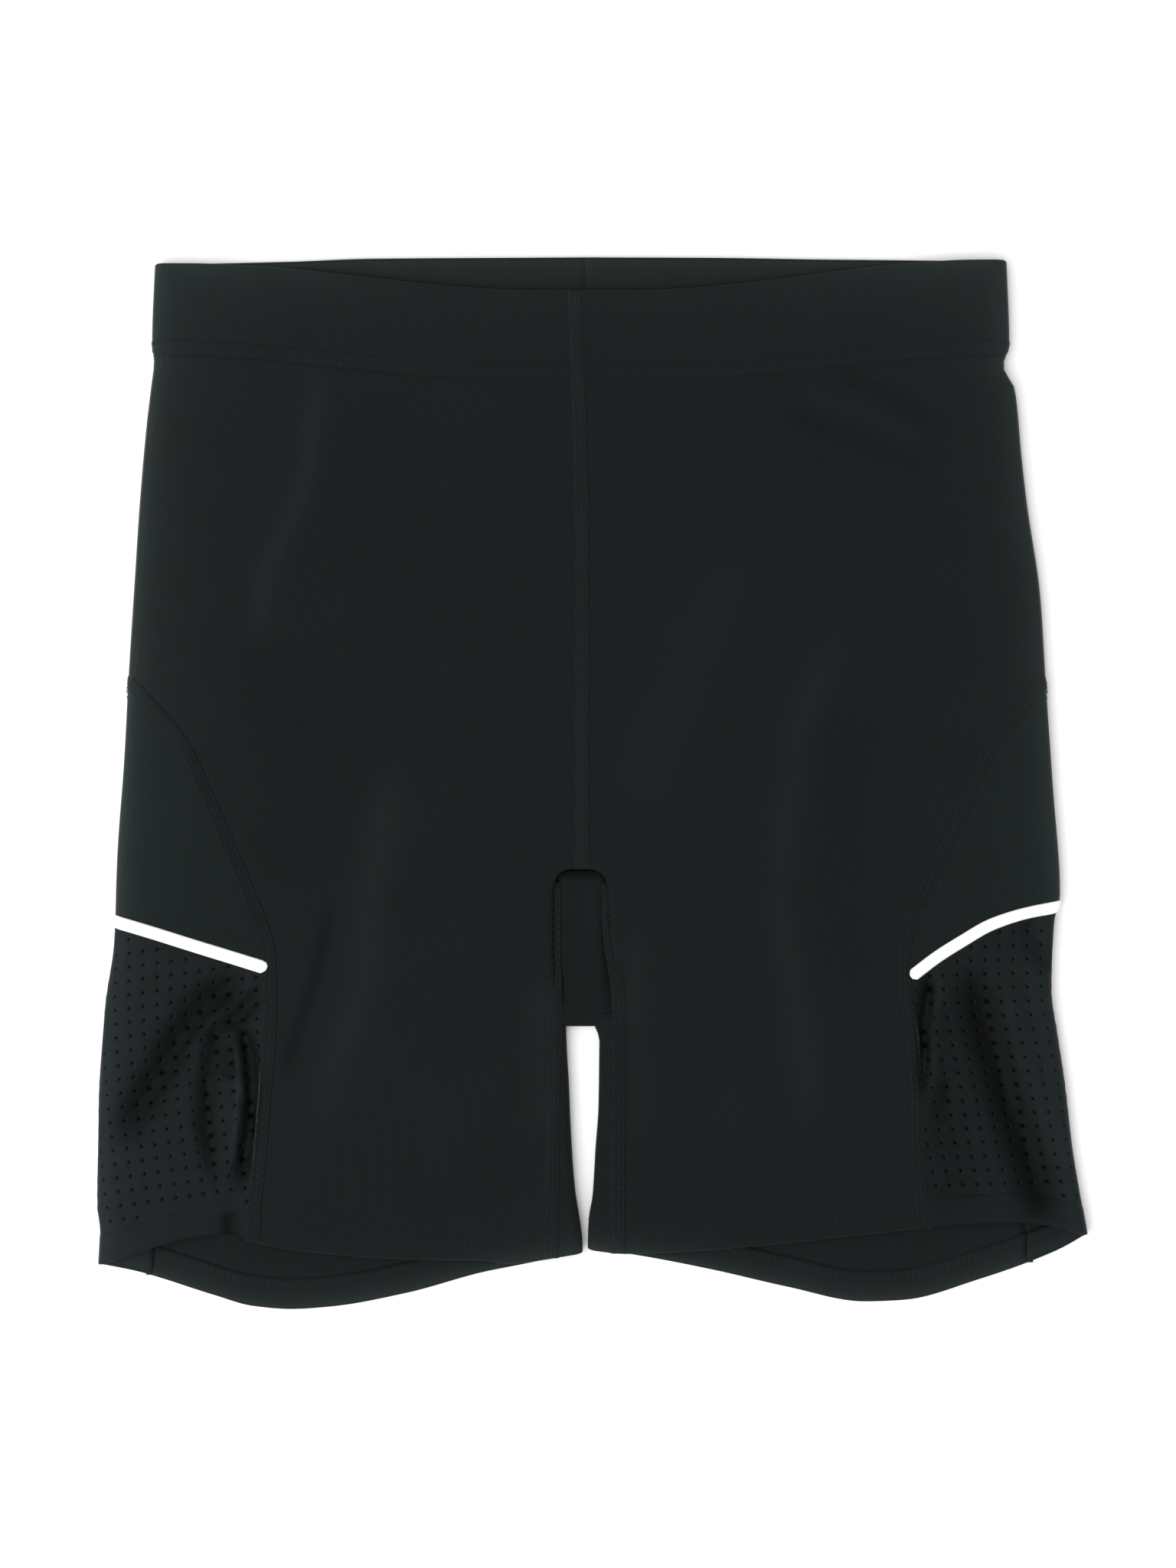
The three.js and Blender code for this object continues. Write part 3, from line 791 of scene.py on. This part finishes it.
def sheet(context, half, bm, part, node, look, body, thickness):
    """Lays a flat cut on the half and makes it a sheet of cloth of that thickness."""
    area, box = flat_area(bm), flat_box(bm)
    lay(bm, half)
    name = panel_name(half, part)
    made = piece(context, name, bm, [look], panel_name(half, node), body, thickness)


# ---------- Settings ----------


def length_property(name, description, default):
    return FloatProperty(name=name, description=description, default=default, unit="LENGTH", precision=5)


def colour_property(name, description, default):
    return FloatVectorProperty(
        name=name, description=description, default=linear(default), subtype="COLOR", size=3, min=0, max=1
    )


class ShortsSizes(bpy.types.PropertyGroup):
    """Sizes of the cloth, the seams and the holes."""

    cloth: length_property("Cloth", "Thickness of the jersey", 0.00065)
    seam_width: length_property("Seam width", "Width of a flatlock seam", 0.0060)
    tape_width: length_property("Tape width", "Width of the reflective tape", 0.0052)
    hem_height: length_property("Hem height", "Hem edge to the upper row of stitches", 0.0128)
    hole_pitch: length_property("Hole pitch", "From one punched hole to the next", 0.0058)
    hole_size: length_property("Hole size", "Width of a punched hole", 0.0009)
    thread: length_property("Thread", "Thickness of the sewing thread", 0.00034)
    stitch_length: length_property("Stitch length", "Length of thread that shows in a stitch", 0.0026)
    stitch_gap: length_property("Stitch gap", "From one stitch to the next", 0.0006)


class ShortsColours(bpy.types.PropertyGroup):
    """Colours of the cloth, the thread and the stage."""

    body: colour_property("Body", "Colour of the body's jersey", "#151919")
    side: colour_property("Side", "Colour of the side panels' jersey", "#151a1a")
    waistband: colour_property("Waistband", "Colour of the waistband's jersey", "#151919")
    mesh: colour_property("Perforated cloth", "Colour of the perforated cloth", "#0e1213")
    # the tape's silver-white, made near-white as painted reflection of the light its beads throw back
    tape: colour_property("Tape", "Colour of the reflective tape", "#f8f9f9")
    thread: colour_property("Thread", "Colour of the sewing thread", "#1b2122")
    elastic: colour_property("Elastic", "Colour of the elastic in the waistband", "#141617")
    facing: colour_property("Facing", "Colour of the cloth inside the waistband and the hems", "#161a19")
    floor: colour_property("Floor", "Colour of the floor", "#f6f6f6")


class ShortsStage(bpy.types.PropertyGroup):
    """The camera and the lights."""

    camera_height: length_property("Camera height", "Camera above the shorts", 1.5475)
    camera_across: length_property("Camera across", "Camera to the side of the middle", 0.0008)
    camera_along: length_property("Camera along", "Camera towards the waist from the middle", -0.0005)
    lens: FloatProperty(name="Lens", description="Focal length of the lens", default=85, unit="CAMERA")
    overhead: FloatProperty(
        name="Overhead light", description="Power of the light overhead", default=52, unit="POWER"
    )
    around: FloatProperty(name="Light around", description="Brightness of the room around", default=0.75)


# ---------- Operators ----------


class SHORTS_OT_body_panels(bpy.types.Operator):
    """Make the front and back body panels of both halves"""

    bl_idname = "shorts.body_panels"
    bl_label = "Body Panels"

    def execute(self, context):
        for half in HALVES:
            bm = bmesh.new()
            self.cut_front(bm, half)
            self.cut_back(bm, half)
            weld(bm)
            hem_roll = half_turn(HEM_RADIUS, -1)
            roll(bm, lambda v: abs(v.co.y - half.hem(v.co.x, v.co.y) - HEM_RADIUS) < 0.05, hem_roll)
            roll(bm, lambda v: self.at_rim(half, v), RIM_STEPS)
            cloth = context.scene.shorts_sizes.cloth
            sheet(context, half, bm, "body_cloth", "body_panel", "interlock_jersey", None, cloth)
        return {"FINISHED"}

    def cut_front(self, bm, half):
        def at_rim(y):
            return half.cloth(half.rim(y), y)

        def at_centre(y):
            return half.cloth(half.sign * CENTRE_FRONT(y), y)

        def rim_round(c, y):
            u = half.across(c, y)[0]
            in_round = max(0.0, u - half.rim(RIM_TOP) + RIM_ROUND)
            return RIM_TOP - RIM_ROUND + math.sqrt(max(0.0, RIM_ROUND**2 - min(in_round, RIM_ROUND) ** 2))

        def hem(c, y):
            return half.hem(c, y) + HEM_RADIUS

        corner = RIM_TOP - RIM_ROUND
        patch(bm, 50, 38, lambda y: 0.0, at_rim, level(SEAM_TOP), half.waist_seam)
        patch(bm, 50, 26, half.seam, at_rim, level(corner), level(SEAM_TOP))
        patch(bm, 50, 46, half.seam, at_rim, hem, level(corner))
        patch(bm, 6, 38, at_rim, at_centre, level(SEAM_TOP), half.waist_seam)
        patch(bm, 6, 26, at_rim, at_centre, rim_round, level(SEAM_TOP))

    def cut_back(self, bm, half):
        def beside_gusset(y):
            return -half.cloth(GUSSET_BACK_HALF, y)

        def at_centre(y):
            return -half.cloth(0.0, y)

        def at_inseam(y):
            return half.cloth(half.rim(y), y) - 2 * half.width(y)

        def hem(c, y):
            return half.hem(c, y) + HEM_RADIUS

        seam = half.back_seam
        patch(bm, 50, 38, lambda y: 0.0, beside_gusset, level(SEAM_TOP), half.waist_seam)
        patch(bm, 50, 32, seam, beside_gusset, level(GUSSET_BACK), level(SEAM_TOP))
        patch(bm, 50, 11, seam, beside_gusset, level(LEG_WRAP_TOP), level(GUSSET_BACK))
        patch(bm, 50, 34, seam, beside_gusset, hem, level(LEG_WRAP_TOP))
        patch(bm, 4, 38, beside_gusset, at_centre, level(SEAM_TOP), half.waist_seam)
        patch(bm, 4, 32, beside_gusset, at_centre, level(GUSSET_BACK), level(SEAM_TOP))
        patch(bm, 14, 34, beside_gusset, at_inseam, hem, level(LEG_WRAP_TOP))

    def at_rim(self, half, vert):
        c, y, _ = vert.co
        if c < 0 or not RIM_STEPS_END < y < RIM_TOP + 0.1:
            return False
        return half.across(c, y)[0] < half.rim(y) + 0.1


class SHORTS_OT_side_panels(bpy.types.Operator):
    """Make the plain panels on the hips, between the side seams and the tape"""

    bl_idname = "shorts.side_panels"
    bl_label = "Side Panels"

    def execute(self, context):
        sizes = context.scene.shorts_sizes
        under_tape = sizes.tape_width / MM / 2 - 0.6
        for half in HALVES:
            bm = bmesh.new()

            def low(c, y):
                return half.tape(abs(c)) + under_tape

            patch(bm, 32, 34, half.seam, half.back_seam, low, level(SEAM_TOP - 1.5))
            look, slot = "side_jersey", "side_knit"
            sheet(context, half, bm, "side_cloth", "side_panel", look, half.body, sizes.cloth)
        return {"FINISHED"}


class SHORTS_OT_mesh_panels(bpy.types.Operator):
    """Make the perforated panels below the tape, with every hole punched through, and their hems"""

    bl_idname = "shorts.mesh_panels"
    bl_label = "Perforated Panels"

    def execute(self, context):
        for half in HALVES:
            self.punch_panel(context, half)
            self.make_hem(context, half)
        return {"FINISHED"}

    def punch_panel(self, context, half):
        sizes = context.scene.shorts_sizes
        pitch, hole = sizes.hole_pitch / MM, sizes.hole_size / MM
        cell = pitch / 3
        across, along = HOLES
        bm = bmesh.new()
        bmesh.ops.create_grid(bm, x_segments=across * 3, y_segments=along * 3, size=0.5)
        scale = Matrix.Diagonal((across * pitch, along * pitch, 1, 1))
        turn = Matrix.Rotation(GRAIN[half.name], 4, "Z")
        centre = Matrix.Translation((0, PUNCH_CENTRE, 0))
        shares = {v: (v.co.x + 0.5, v.co.y + 0.5) for v in bm.verts}
        bmesh.ops.transform(bm, matrix=centre @ turn @ scale, verts=bm.verts)
        outside = {f for f in bm.faces if not self.inside(half, f.calc_center_median(), 0.5)}
        holes = [f for f in bm.faces if f not in outside and self.is_hole(f, shares)]
        holes = [f for f in holes if self.inside(half, f.calc_center_median(), -2.6)]
        for face in holes:
            space = Matrix.Translation(-face.calc_center_median())
            bmesh.ops.scale(bm, vec=(hole / cell, hole / cell, 1), verts=face.verts, space=space)
        area = sum(f.calc_area() for f in bm.faces if f not in outside) * MM * MM
        bmesh.ops.delete(bm, geom=[*outside, *holes], context="FACES")
        lay(bm, half)
        name, node = panel_name(half, "perforated_cloth"), panel_name(half, "mesh_panel")
        made = piece(context, name, bm, ["perforated_nylon"], node, half.body)
        rounding = made.modifiers.new("rounding", "SUBSURF")
        rounding.levels = rounding.render_levels = 1
        shell = made.modifiers.new("thickness", "SOLIDIFY")
        shell.thickness = PERFORATED * MM
        shell.offset = -1

    def is_hole(self, face, shares):
        """Whether the face is the middle one of its three by three."""
        s, t = (sum(shares[v][i] for v in face.verts) / 4 * HOLES[i] * 3 - 0.5 for i in range(2))
        return round(s) % 3 == 1 and round(t) % 3 == 1

    def inside(self, half, point, margin):
        """Whether a flat point is within the panel's outline, grown by the margin."""
        c, y, _ = point
        if not half.back_seam(y) - margin < c < half.seam(y) + margin or y > half.tape(abs(c)) - 1.6 + margin:
            return False
        return y > half.hem(c, y) + PLAIN_HEM - margin

    def make_hem(self, context, half):
        sizes = context.scene.shorts_sizes
        height = sizes.hem_height / MM

        def fold(c, y):
            return half.hem(c, y) + HEM_RADIUS

        def top(c, y):
            return half.hem(c, y) + height + 0.5

        bm = bmesh.new()
        patch(bm, 46, 7, half.seam, half.back_seam, fold, top, 0.12)
        for vert in bm.verts:
            vert.co.z -= 0.4 * smooth(-1.5, 0, vert.co.y - top(vert.co.x, vert.co.y))
        roll(bm, lambda v: abs(v.co.y - fold(v.co.x, v.co.y)) < 0.05, half_turn(HEM_RADIUS, -1))
        patch(bm, 46, 6, half.seam, half.back_seam, fold, lambda c, y: top(c, y) - 0.8, -2 * HEM_RADIUS)
        weld(bm)
        area = flat_area(bm)
        lay(bm, half)
        name, node = panel_name(half, "perforated_hem"), panel_name(half, "mesh_hem")
        look, slot = "perforated_nylon", "perforated_mesh"
        made = piece(context, name, bm, [look], node, half.body, PERFORATED * MM)


class SHORTS_OT_tape(bpy.types.Operator):
    """Make the reflective tape over the top of each perforated panel"""

    bl_idname = "shorts.tape"
    bl_label = "Reflective Tape"

    def execute(self, context):
        sizes = context.scene.shorts_sizes
        width = sizes.tape_width / MM
        for half in HALVES:
            reach = TAPE_REACH[half.name]
            steps = 60
            points = [mix(reach, half.back_seam(TAPE_END) + 1.5, i / steps) for i in range(steps + 1)]
            route = Route([(c, half.tape(abs(c))) for c in points], rounds=3)

            def rounded(at):
                from_end = min(at, route.length - at)
                inset = max(0.0, TAPE_CORNER - from_end)
                return 1 - 2 * (TAPE_CORNER - math.sqrt(TAPE_CORNER**2 - inset**2)) / width, 0.0

            bm = bmesh.new()
            strip(bm, route, width, TAPE_LIFTS, rounded, step=1.5)
            lay(bm, half)
            thicken(bm, 0.3)
            name, node = panel_name(half, "reflective_tape"), panel_name(half, "reflective_piping")
            piece(context, name, bm, ["glass_bead_tape"], node, half.body)
        return {"FINISHED"}


class SHORTS_OT_seams(bpy.types.Operator):
    """Make the flatlock seams: side, leg and inner leg, centre front and centre back"""

    bl_idname = "shorts.seams"
    bl_label = "Flatlock Seams"

    def execute(self, context):
        for half in HALVES:
            self.side_seam(context, half)
            self.inseam(context, half)
        self.centre_front(context)
        self.centre_back(context)
        return {"FINISHED"}

    def flatlock(self, context, half, name, node, body, routes, share=1.0):
        """A seam over joined edges: strips with rows of stitches, by route and shape."""
        sizes = context.scene.shorts_sizes
        bm = bmesh.new()
        for route, shape in routes:
            strip(bm, route, sizes.seam_width / MM, SEAM_LIFTS, shape)
        lay(bm, half, share)
        thicken(bm, SEAM_STRIP)
        for route, shape in routes:
            straight_stitches(bm, half, route, SEAM_ROWS, sizes, THREAD_LIFT, shape=shape)
        piece(context, name, bm, ["interlock_jersey", "polyester_thread"], node, body)

    def side_seam(self, context, half):
        top = SEAM_TOP - 0.6
        hem_front = half.hem(half.seam(-190), -190) + SEAM_END
        hem_back = half.hem(half.back_seam(-205), -205) + SEAM_END
        count = 90
        front = [mix(hem_front, top, i / count) for i in range(count + 1)]
        back = [mix(top, hem_back, i / count) for i in range(1, count + 1)]
        points = [(half.seam(y), y) for y in front] + [(half.back_seam(y), y) for y in back]
        name, node = panel_name(half, "side_flatlock"), panel_name(half, "side_seam")
        self.flatlock(context, half, name, node, half.body, [(Route(points, rounds=5), None)])

    def inseam(self, context, half):
        """The inner leg's seams. The front one goes down into the gusset's furrow at its upper end."""
        hem = half.hem(half.cloth(14, -196), -196) + SEAM_END
        count = 60
        ys = [mix(hem, INSEAM_TOP, i / count) for i in range(count + 1)]
        points = [(half.cloth(half.rim(y) - 1.6 * smooth(*half.furrow, y), y), y) for y in ys]
        front = Route(points, rounds=3)
        back = [(-half.cloth(GUSSET_BACK_HALF, y), y) for y in range(-99, -64, 3)]
        back += [(-half.cloth(u, GUSSET_BACK), GUSSET_BACK) for u in (8, 5, 2, -1)]

        def in_furrow(at):
            down = smooth(*half.furrow, front.at(at).y)
            return mix(1.0, FURROW_SHARE, down), FURROW_SINK * down

        name, node = panel_name(half, "inner_leg_flatlock"), panel_name(half, "inseam")
        routes = [(front, in_furrow), (Route(back, rounds=3), None)]
        self.flatlock(context, half, name, node, None, routes)

    def centre_front(self, context):
        def at(y):
            return (RIGHT.cloth(-CENTRE_FRONT(y), y), y)

        top, low = FRONT_EDGE - 0.3, RIM_TOP + 0.5
        routes = [(Route([at(mix(low, top, i / 80)) for i in range(81)]), None)]
        name, node = "centre_front_flatlock", "centre_front_seam"
        self.flatlock(context, RIGHT, name, node, None, routes, CENTRE_SEAM_SHARE)

    def centre_back(self, context):
        def at(y):
            return (-RIGHT.cloth(0.0, y), y)

        top, low = RIGHT.waist_back(0) - 0.4, GUSSET_BACK
        routes = [(Route([at(mix(low, top, i / 80)) for i in range(81)]), None)]
        self.flatlock(context, RIGHT, "centre_back_flatlock", "centre_back_seam", None, routes)


class SHORTS_OT_waistband(bpy.types.Operator):
    """Make the waistband's outer cloth, the elastic in it, the facing inside it and the waist seam"""

    bl_idname = "shorts.waistband"
    bl_label = "Waistband"

    def execute(self, context):
        for half in HALVES:
            self.outer(context, half)
            self.inner(context, half, "elastic", ("woven_elastic", "elastic"), 0.85, 1.0, (2.0, 3.0))
            behind = 2 * BAND_RADIUS + 0.02
            self.inner(context, half, "facing", ("brushed_jersey", "facing_knit"), behind, 0.5, (0.0, 0.0))
            self.seam(context, half)
        return {"FINISHED"}

    def cut(self, bm, half, low, high, lift):
        def front_centre(y):
            return half.cloth(half.sign * CENTRE_FRONT(y), y)

        def back_centre(y):
            return -half.cloth(0.0, y)

        for centre in (front_centre, back_centre):
            patch(bm, 56, 12, lambda y: 0.0, centre, low, high, lift)
        weld(bm)

    def outer(self, context, half):
        def high(c, y):
            return half.waist_edge(c, y) - BAND_RADIUS

        bm = bmesh.new()
        self.cut(bm, half, half.waist_seam, high, 0.0)
        roll(bm, lambda v: abs(v.co.y - high(v.co.x, v.co.y)) < 0.05, half_turn(BAND_RADIUS, 1, 6))
        cloth = context.scene.shorts_sizes.cloth
        look, slot = "waistband_jersey", "waistband_knit"
        sheet(context, half, bm, "waistband_cloth", "waistband", look, None, cloth)

    def inner(self, context, half, part, look_and_slot, depth, thickness, insets):
        """A band inside the outer cloth, that deep behind its face, inset from the seam and the top edge."""

        def low(c, y):
            return half.waist_seam(c, y) + insets[0]

        def high(c, y):
            return half.waist_edge(c, y) - BAND_RADIUS - insets[1]

        bm = bmesh.new()
        self.cut(bm, half, low, high, -depth)
        look, slot = look_and_slot
        name, node, under = f"waist_{part}_band", f"waist_{part}", panel_name(half, "waistband_cloth")
        sheet(context, half, bm, name, node, look, None, thickness * MM)

    def seam(self, context, half):
        sizes = context.scene.shorts_sizes
        bm = bmesh.new()
        routes = []
        for layer in (1, -1):
            inner = half.sign * CENTRE_FRONT(FRONT_SEAM) if layer > 0 else 0.0
            cs = [layer * half.cloth(inner, FRONT_SEAM) * i / 90 for i in range(91)]
            routes.append(Route([(c, half.waist_seam(c, FRONT_SEAM) + WAIST_SEAM_HALF - 1) for c in cs]))
            strip(bm, routes[-1], 2 * WAIST_SEAM_HALF, WAIST_SEAM_LIFTS)
        weld(bm)
        lay(bm, half)
        thicken(bm, 0.3)
        for route in routes:
            for off in WAIST_ROWS:
                cross_stitches(bm, half, route, off, 1.9, 2.1, sizes, 0.2, slant=0.5)
        name, node = panel_name(half, "waist_seam_stitching"), panel_name(half, "waist_seam")
        piece(context, name, bm, ["waistband_jersey", "polyester_thread"], node, None)


class SHORTS_OT_hems(bpy.types.Operator):
    """Make the turned-up cloth inside the hems, with the two rows of stitches that hold it"""

    bl_idname = "shorts.hems"
    bl_label = "Hems"

    def execute(self, context):
        sizes = context.scene.shorts_sizes
        height = sizes.hem_height / MM
        for half in HALVES:
            def fold(c, y):
                return half.hem(c, y) + HEM_RADIUS

            def top(c, y):
                return half.hem(c, y) + height

            def far(y):
                return 2 * half.width(y) + half.back_seam(y)

            bm = bmesh.new()
            patch(bm, 130, 9, half.seam, far, fold, top, -2 * HEM_RADIUS - 0.05)
            for vert in bm.verts:
                vert.co.z += 0.8 * smooth(0, 5, vert.co.y - fold(vert.co.x, vert.co.y))
            area = flat_area(bm)
            lay(bm, half)
            thicken(bm, TURN_UP)
            self.stitch(bm, half, sizes, height)
            name, node = panel_name(half, "hem_turn_up_cloth"), panel_name(half, "hem_turn_up")
            looks = ["interlock_jersey", "polyester_thread"]
            made = piece(context, name, bm, looks, node, None)
        return {"FINISHED"}

    def stitch(self, bm, half, sizes, height):
        """Two rows on the outside, and the looped threads that cross between them on the inside."""
        count = 160
        for row, above in enumerate((height - HEM_ROWS, height)):
            points = []
            for i in range(count + 1):
                y = -200.0
                for _ in range(4):
                    c = mix(half.seam(y), 2 * half.width(y) + half.back_seam(y), i / count)
                    y = half.hem(c, y) + above
                points.append((c, y))
            route = Route(points, rounds=2)
            straight_stitches(bm, half, route, (0.0,), sizes, 0.2, 3.5)
            inside = -2 * HEM_RADIUS + 0.7 - TURN_UP
            if row:
                cross_stitches(bm, half, route, -HEM_ROWS / 2, 4.2, 2.4, sizes, inside, slant=1.2)


class SHORTS_OT_gusset(bpy.types.Operator):
    """Make the gusset between the legs and its lining"""

    bl_idname = "shorts.gusset"
    bl_label = "Gusset"

    def execute(self, context):
        self.make(context, "gusset_cloth", "gusset", "interlock_jersey", "body_knit", 0.0, 0.0)
        self.make(context, "gusset_lining_cloth", "gusset_lining", "brushed_jersey", "facing_knit", 0.85, 1.8)
        return {"FINISHED"}

    def make(self, context, name, node, look, slot, depth, inset):
        front, turn, back = self.runs()
        bm = bmesh.new()
        length = front + turn + back - 2 * inset
        shade = bm.verts.layers.float.new("brightness")
        bmesh.ops.create_grid(bm, x_segments=18, y_segments=66, size=0.5)
        for vert in bm.verts:
            s, t = vert.co.x + 0.5, vert.co.y + 0.5
            along = inset + length * t
            low, high = self.sides(along)
            vert.co = (mix(low + inset, high - inset, s), -along, 0)
        area, box = flat_area(bm), flat_box(bm)
        uv = bm.loops.layers.uv.new("UVMap")
        for face in bm.faces:
            for loop in face.loops:
                loop[uv].uv = (loop.vert.co.x * MM, loop.vert.co.y * MM)
        for vert in bm.verts:
            # a little darker overall, with painted shade down in the furrow around the gusset's front
            vert[shade] = 0.9 - 0.35 * self.furrow(vert.co.x, -vert.co.y)
            vert.co = self.place(vert.co.x, -vert.co.y, depth)
        bm.normal_update()
        top = max(bm.faces, key=lambda face: face.calc_center_median().z)
        if top.normal.z < 0:
            bmesh.ops.reverse_faces(bm, faces=bm.faces)
        sizes = context.scene.shorts_sizes
        looks = [look]
        if depth == 0:
            thicken(bm, sizes.cloth / MM)
            self.stitch(bm, sizes)
            looks.append("polyester_thread")
            made = piece(context, name, bm, looks, node, None)
        else:
            made = piece(context, name, bm, looks, node, None, sizes.cloth)

    def runs(self):
        """Lengths of the gusset's front, its fold and its back, along the cloth."""
        return RIM_TOP - 1 - (CROTCH + INNER), math.pi * INNER, GUSSET_BACK + 2 - (CROTCH + INNER)

    def sides(self, along):
        """The gusset's edges, by the distance along it from its front end."""
        front, turn, _ = self.runs()
        backwards = smooth(front - 4, front + turn + 4, along)
        low, high_front, high_lower = GUSSET_EDGES
        high = mix(high_front, high_lower, smooth(22, 50, along))
        return mix(low, -GUSSET_BACK_HALF - 1, backwards), mix(high, GUSSET_BACK_HALF + 1, backwards)

    def furrow(self, x, along):
        """How deep in the furrow around its front the gusset is there, from 0 to 1."""
        low, high = self.sides(along)
        left = smooth(0.6, mix(3.6, 5.0, along / 60), x - low)
        right = smooth(0.6, mix(4.2, 7.5, along / 60), high - x)
        end = smooth(0.0, 3.6, along)
        return max(1 - left * right, 1 - end) * mix(1.0, 0.2, smooth(40, 58, along))

    def place(self, x, along, depth):
        front, turn, _ = self.runs()
        half = LEFT if x > 0 else RIGHT
        if along < front:
            y = RIM_TOP - 1 - along
            sideways = 0.0
            layer = 1
        elif along < front + turn:
            angle = (along - front) / INNER
            y = CROTCH + INNER * (1 - math.sin(angle))
            sideways = math.sin(angle)
            layer = 1 if angle < math.pi / 2 else -1
        else:
            y = CROTCH + INNER + along - front - turn
            sideways = 0.0
            layer = -1
        upright = math.sqrt(max(0.0, 1 - sideways**2))
        sunk = mix(*GUSSET_DEPTH, smooth(86, 97, -y)) + FURROW_DEPTH * self.furrow(x, along)
        outer = front_height(half, abs(x), y) - sunk if layer > 0 else back_height(x, y)
        z = MIDDLE - 0.4 + (outer - MIDDLE + 0.4) * upright
        y += sideways * depth
        z -= layer * upright * depth
        return Vector((x * FIT[0], y * FIT[1], z)) * MM

    def stitch(self, bm, sizes):
        """Short threads over the seam at the lower end of the gusset's front."""
        front = self.runs()[0]
        for i in range(9):
            x = mix(-10.5, 7.0, i / 8)
            for along in (front - 5.0, front - 3.0):
                a, b = self.place(x, along, -0.12), self.place(x + 1.3, along + 0.2, -0.12)
                thread(bm, a, b, sizes.thread / MM)


class SHORTS_OT_stage(bpy.types.Operator):
    """Make the white floor, the lights and the camera"""

    bl_idname = "shorts.stage"
    bl_label = "Stage"

    def execute(self, context):
        stage = context.scene.shorts_stage
        self.floor(context)
        self.lights(context, stage)
        self.camera(context, stage)
        context.scene.view_settings.view_transform = "Standard"
        return {"FINISHED"}

    def floor(self, context):
        bm = bmesh.new()
        bmesh.ops.create_grid(bm, x_segments=8, y_segments=8, size=5.0, calc_uvs=True)
        mesh = bpy.data.meshes.new("white_floor")
        bm.to_mesh(mesh)
        bm.free()
        mesh.materials.append(finish(context, "white_board"))
        floor = bpy.data.objects.new("white_floor", mesh)
        context.scene.collection.objects.link(floor)

    def lights(self, context, stage):
        world = bpy.data.worlds.new("studio")
        world.use_nodes = True
        world.node_tree.nodes["Background"].inputs["Color"].default_value = (1, 1, 1, 1)
        world.node_tree.nodes["Background"].inputs["Strength"].default_value = stage.around
        context.scene.world = world
        light = bpy.data.lights.new("overhead_softbox", "AREA")
        light.size = 2.4
        light.energy = stage.overhead
        softbox = bpy.data.objects.new("overhead_softbox", light)
        softbox.location = (-0.9, -0.5, 1.9)
        softbox.rotation_euler = (-softbox.location).to_track_quat("-Z", "Y").to_euler()
        context.scene.collection.objects.link(softbox)

    def camera(self, context, stage):
        data = bpy.data.cameras.new("camera")
        data.lens = stage.lens
        data.sensor_width = 36
        camera = bpy.data.objects.new("camera", data)
        middle = (CAD_BOX[0] + CAD_BOX[1]) / 2
        camera.location = middle + Vector((stage.camera_across, stage.camera_along, stage.camera_height))
        context.scene.collection.objects.link(camera)
        context.scene.camera = camera


OPERATORS = (
    SHORTS_OT_stage,
    SHORTS_OT_body_panels,
    SHORTS_OT_side_panels,
    SHORTS_OT_mesh_panels,
    SHORTS_OT_tape,
    SHORTS_OT_seams,
    SHORTS_OT_waistband,
    SHORTS_OT_hems,
    SHORTS_OT_gusset,
)


class SHORTS_PT_panel(bpy.types.Panel):
    """Lists the pieces of the shorts and their settings"""

    bl_idname = "SHORTS_PT_panel"
    bl_label = "Sports Shorts"
    bl_space_type = "VIEW_3D"
    bl_region_type = "UI"
    bl_category = "Shorts"

    def draw(self, context):
        layout = self.layout
        for operator in OPERATORS:
            layout.operator(operator.bl_idname)
        for settings in ("shorts_sizes", "shorts_colours", "shorts_stage"):
            box = layout.box()
            group = getattr(context.scene, settings)
            for name in group.__annotations__:
                box.prop(group, name)


SETTINGS = {"shorts_sizes": ShortsSizes, "shorts_colours": ShortsColours, "shorts_stage": ShortsStage}


def register():
    for group in SETTINGS.values():
        bpy.utils.register_class(group)
    for operator in OPERATORS:
        bpy.utils.register_class(operator)
    bpy.utils.register_class(SHORTS_PT_panel)
    for name, group in SETTINGS.items():
        setattr(bpy.types.Scene, name, PointerProperty(type=group))


def unregister():
    for name in SETTINGS:
        delattr(bpy.types.Scene, name)
    bpy.utils.unregister_class(SHORTS_PT_panel)
    for operator in reversed(OPERATORS):
        bpy.utils.unregister_class(operator)
    for group in reversed(SETTINGS.values()):
        bpy.utils.unregister_class(group)


def main():
    register()
    for operator in OPERATORS:
        group, name = operator.bl_idname.split(".")
        getattr(getattr(bpy.ops, group), name)()


if __name__ == "__main__":
    main()
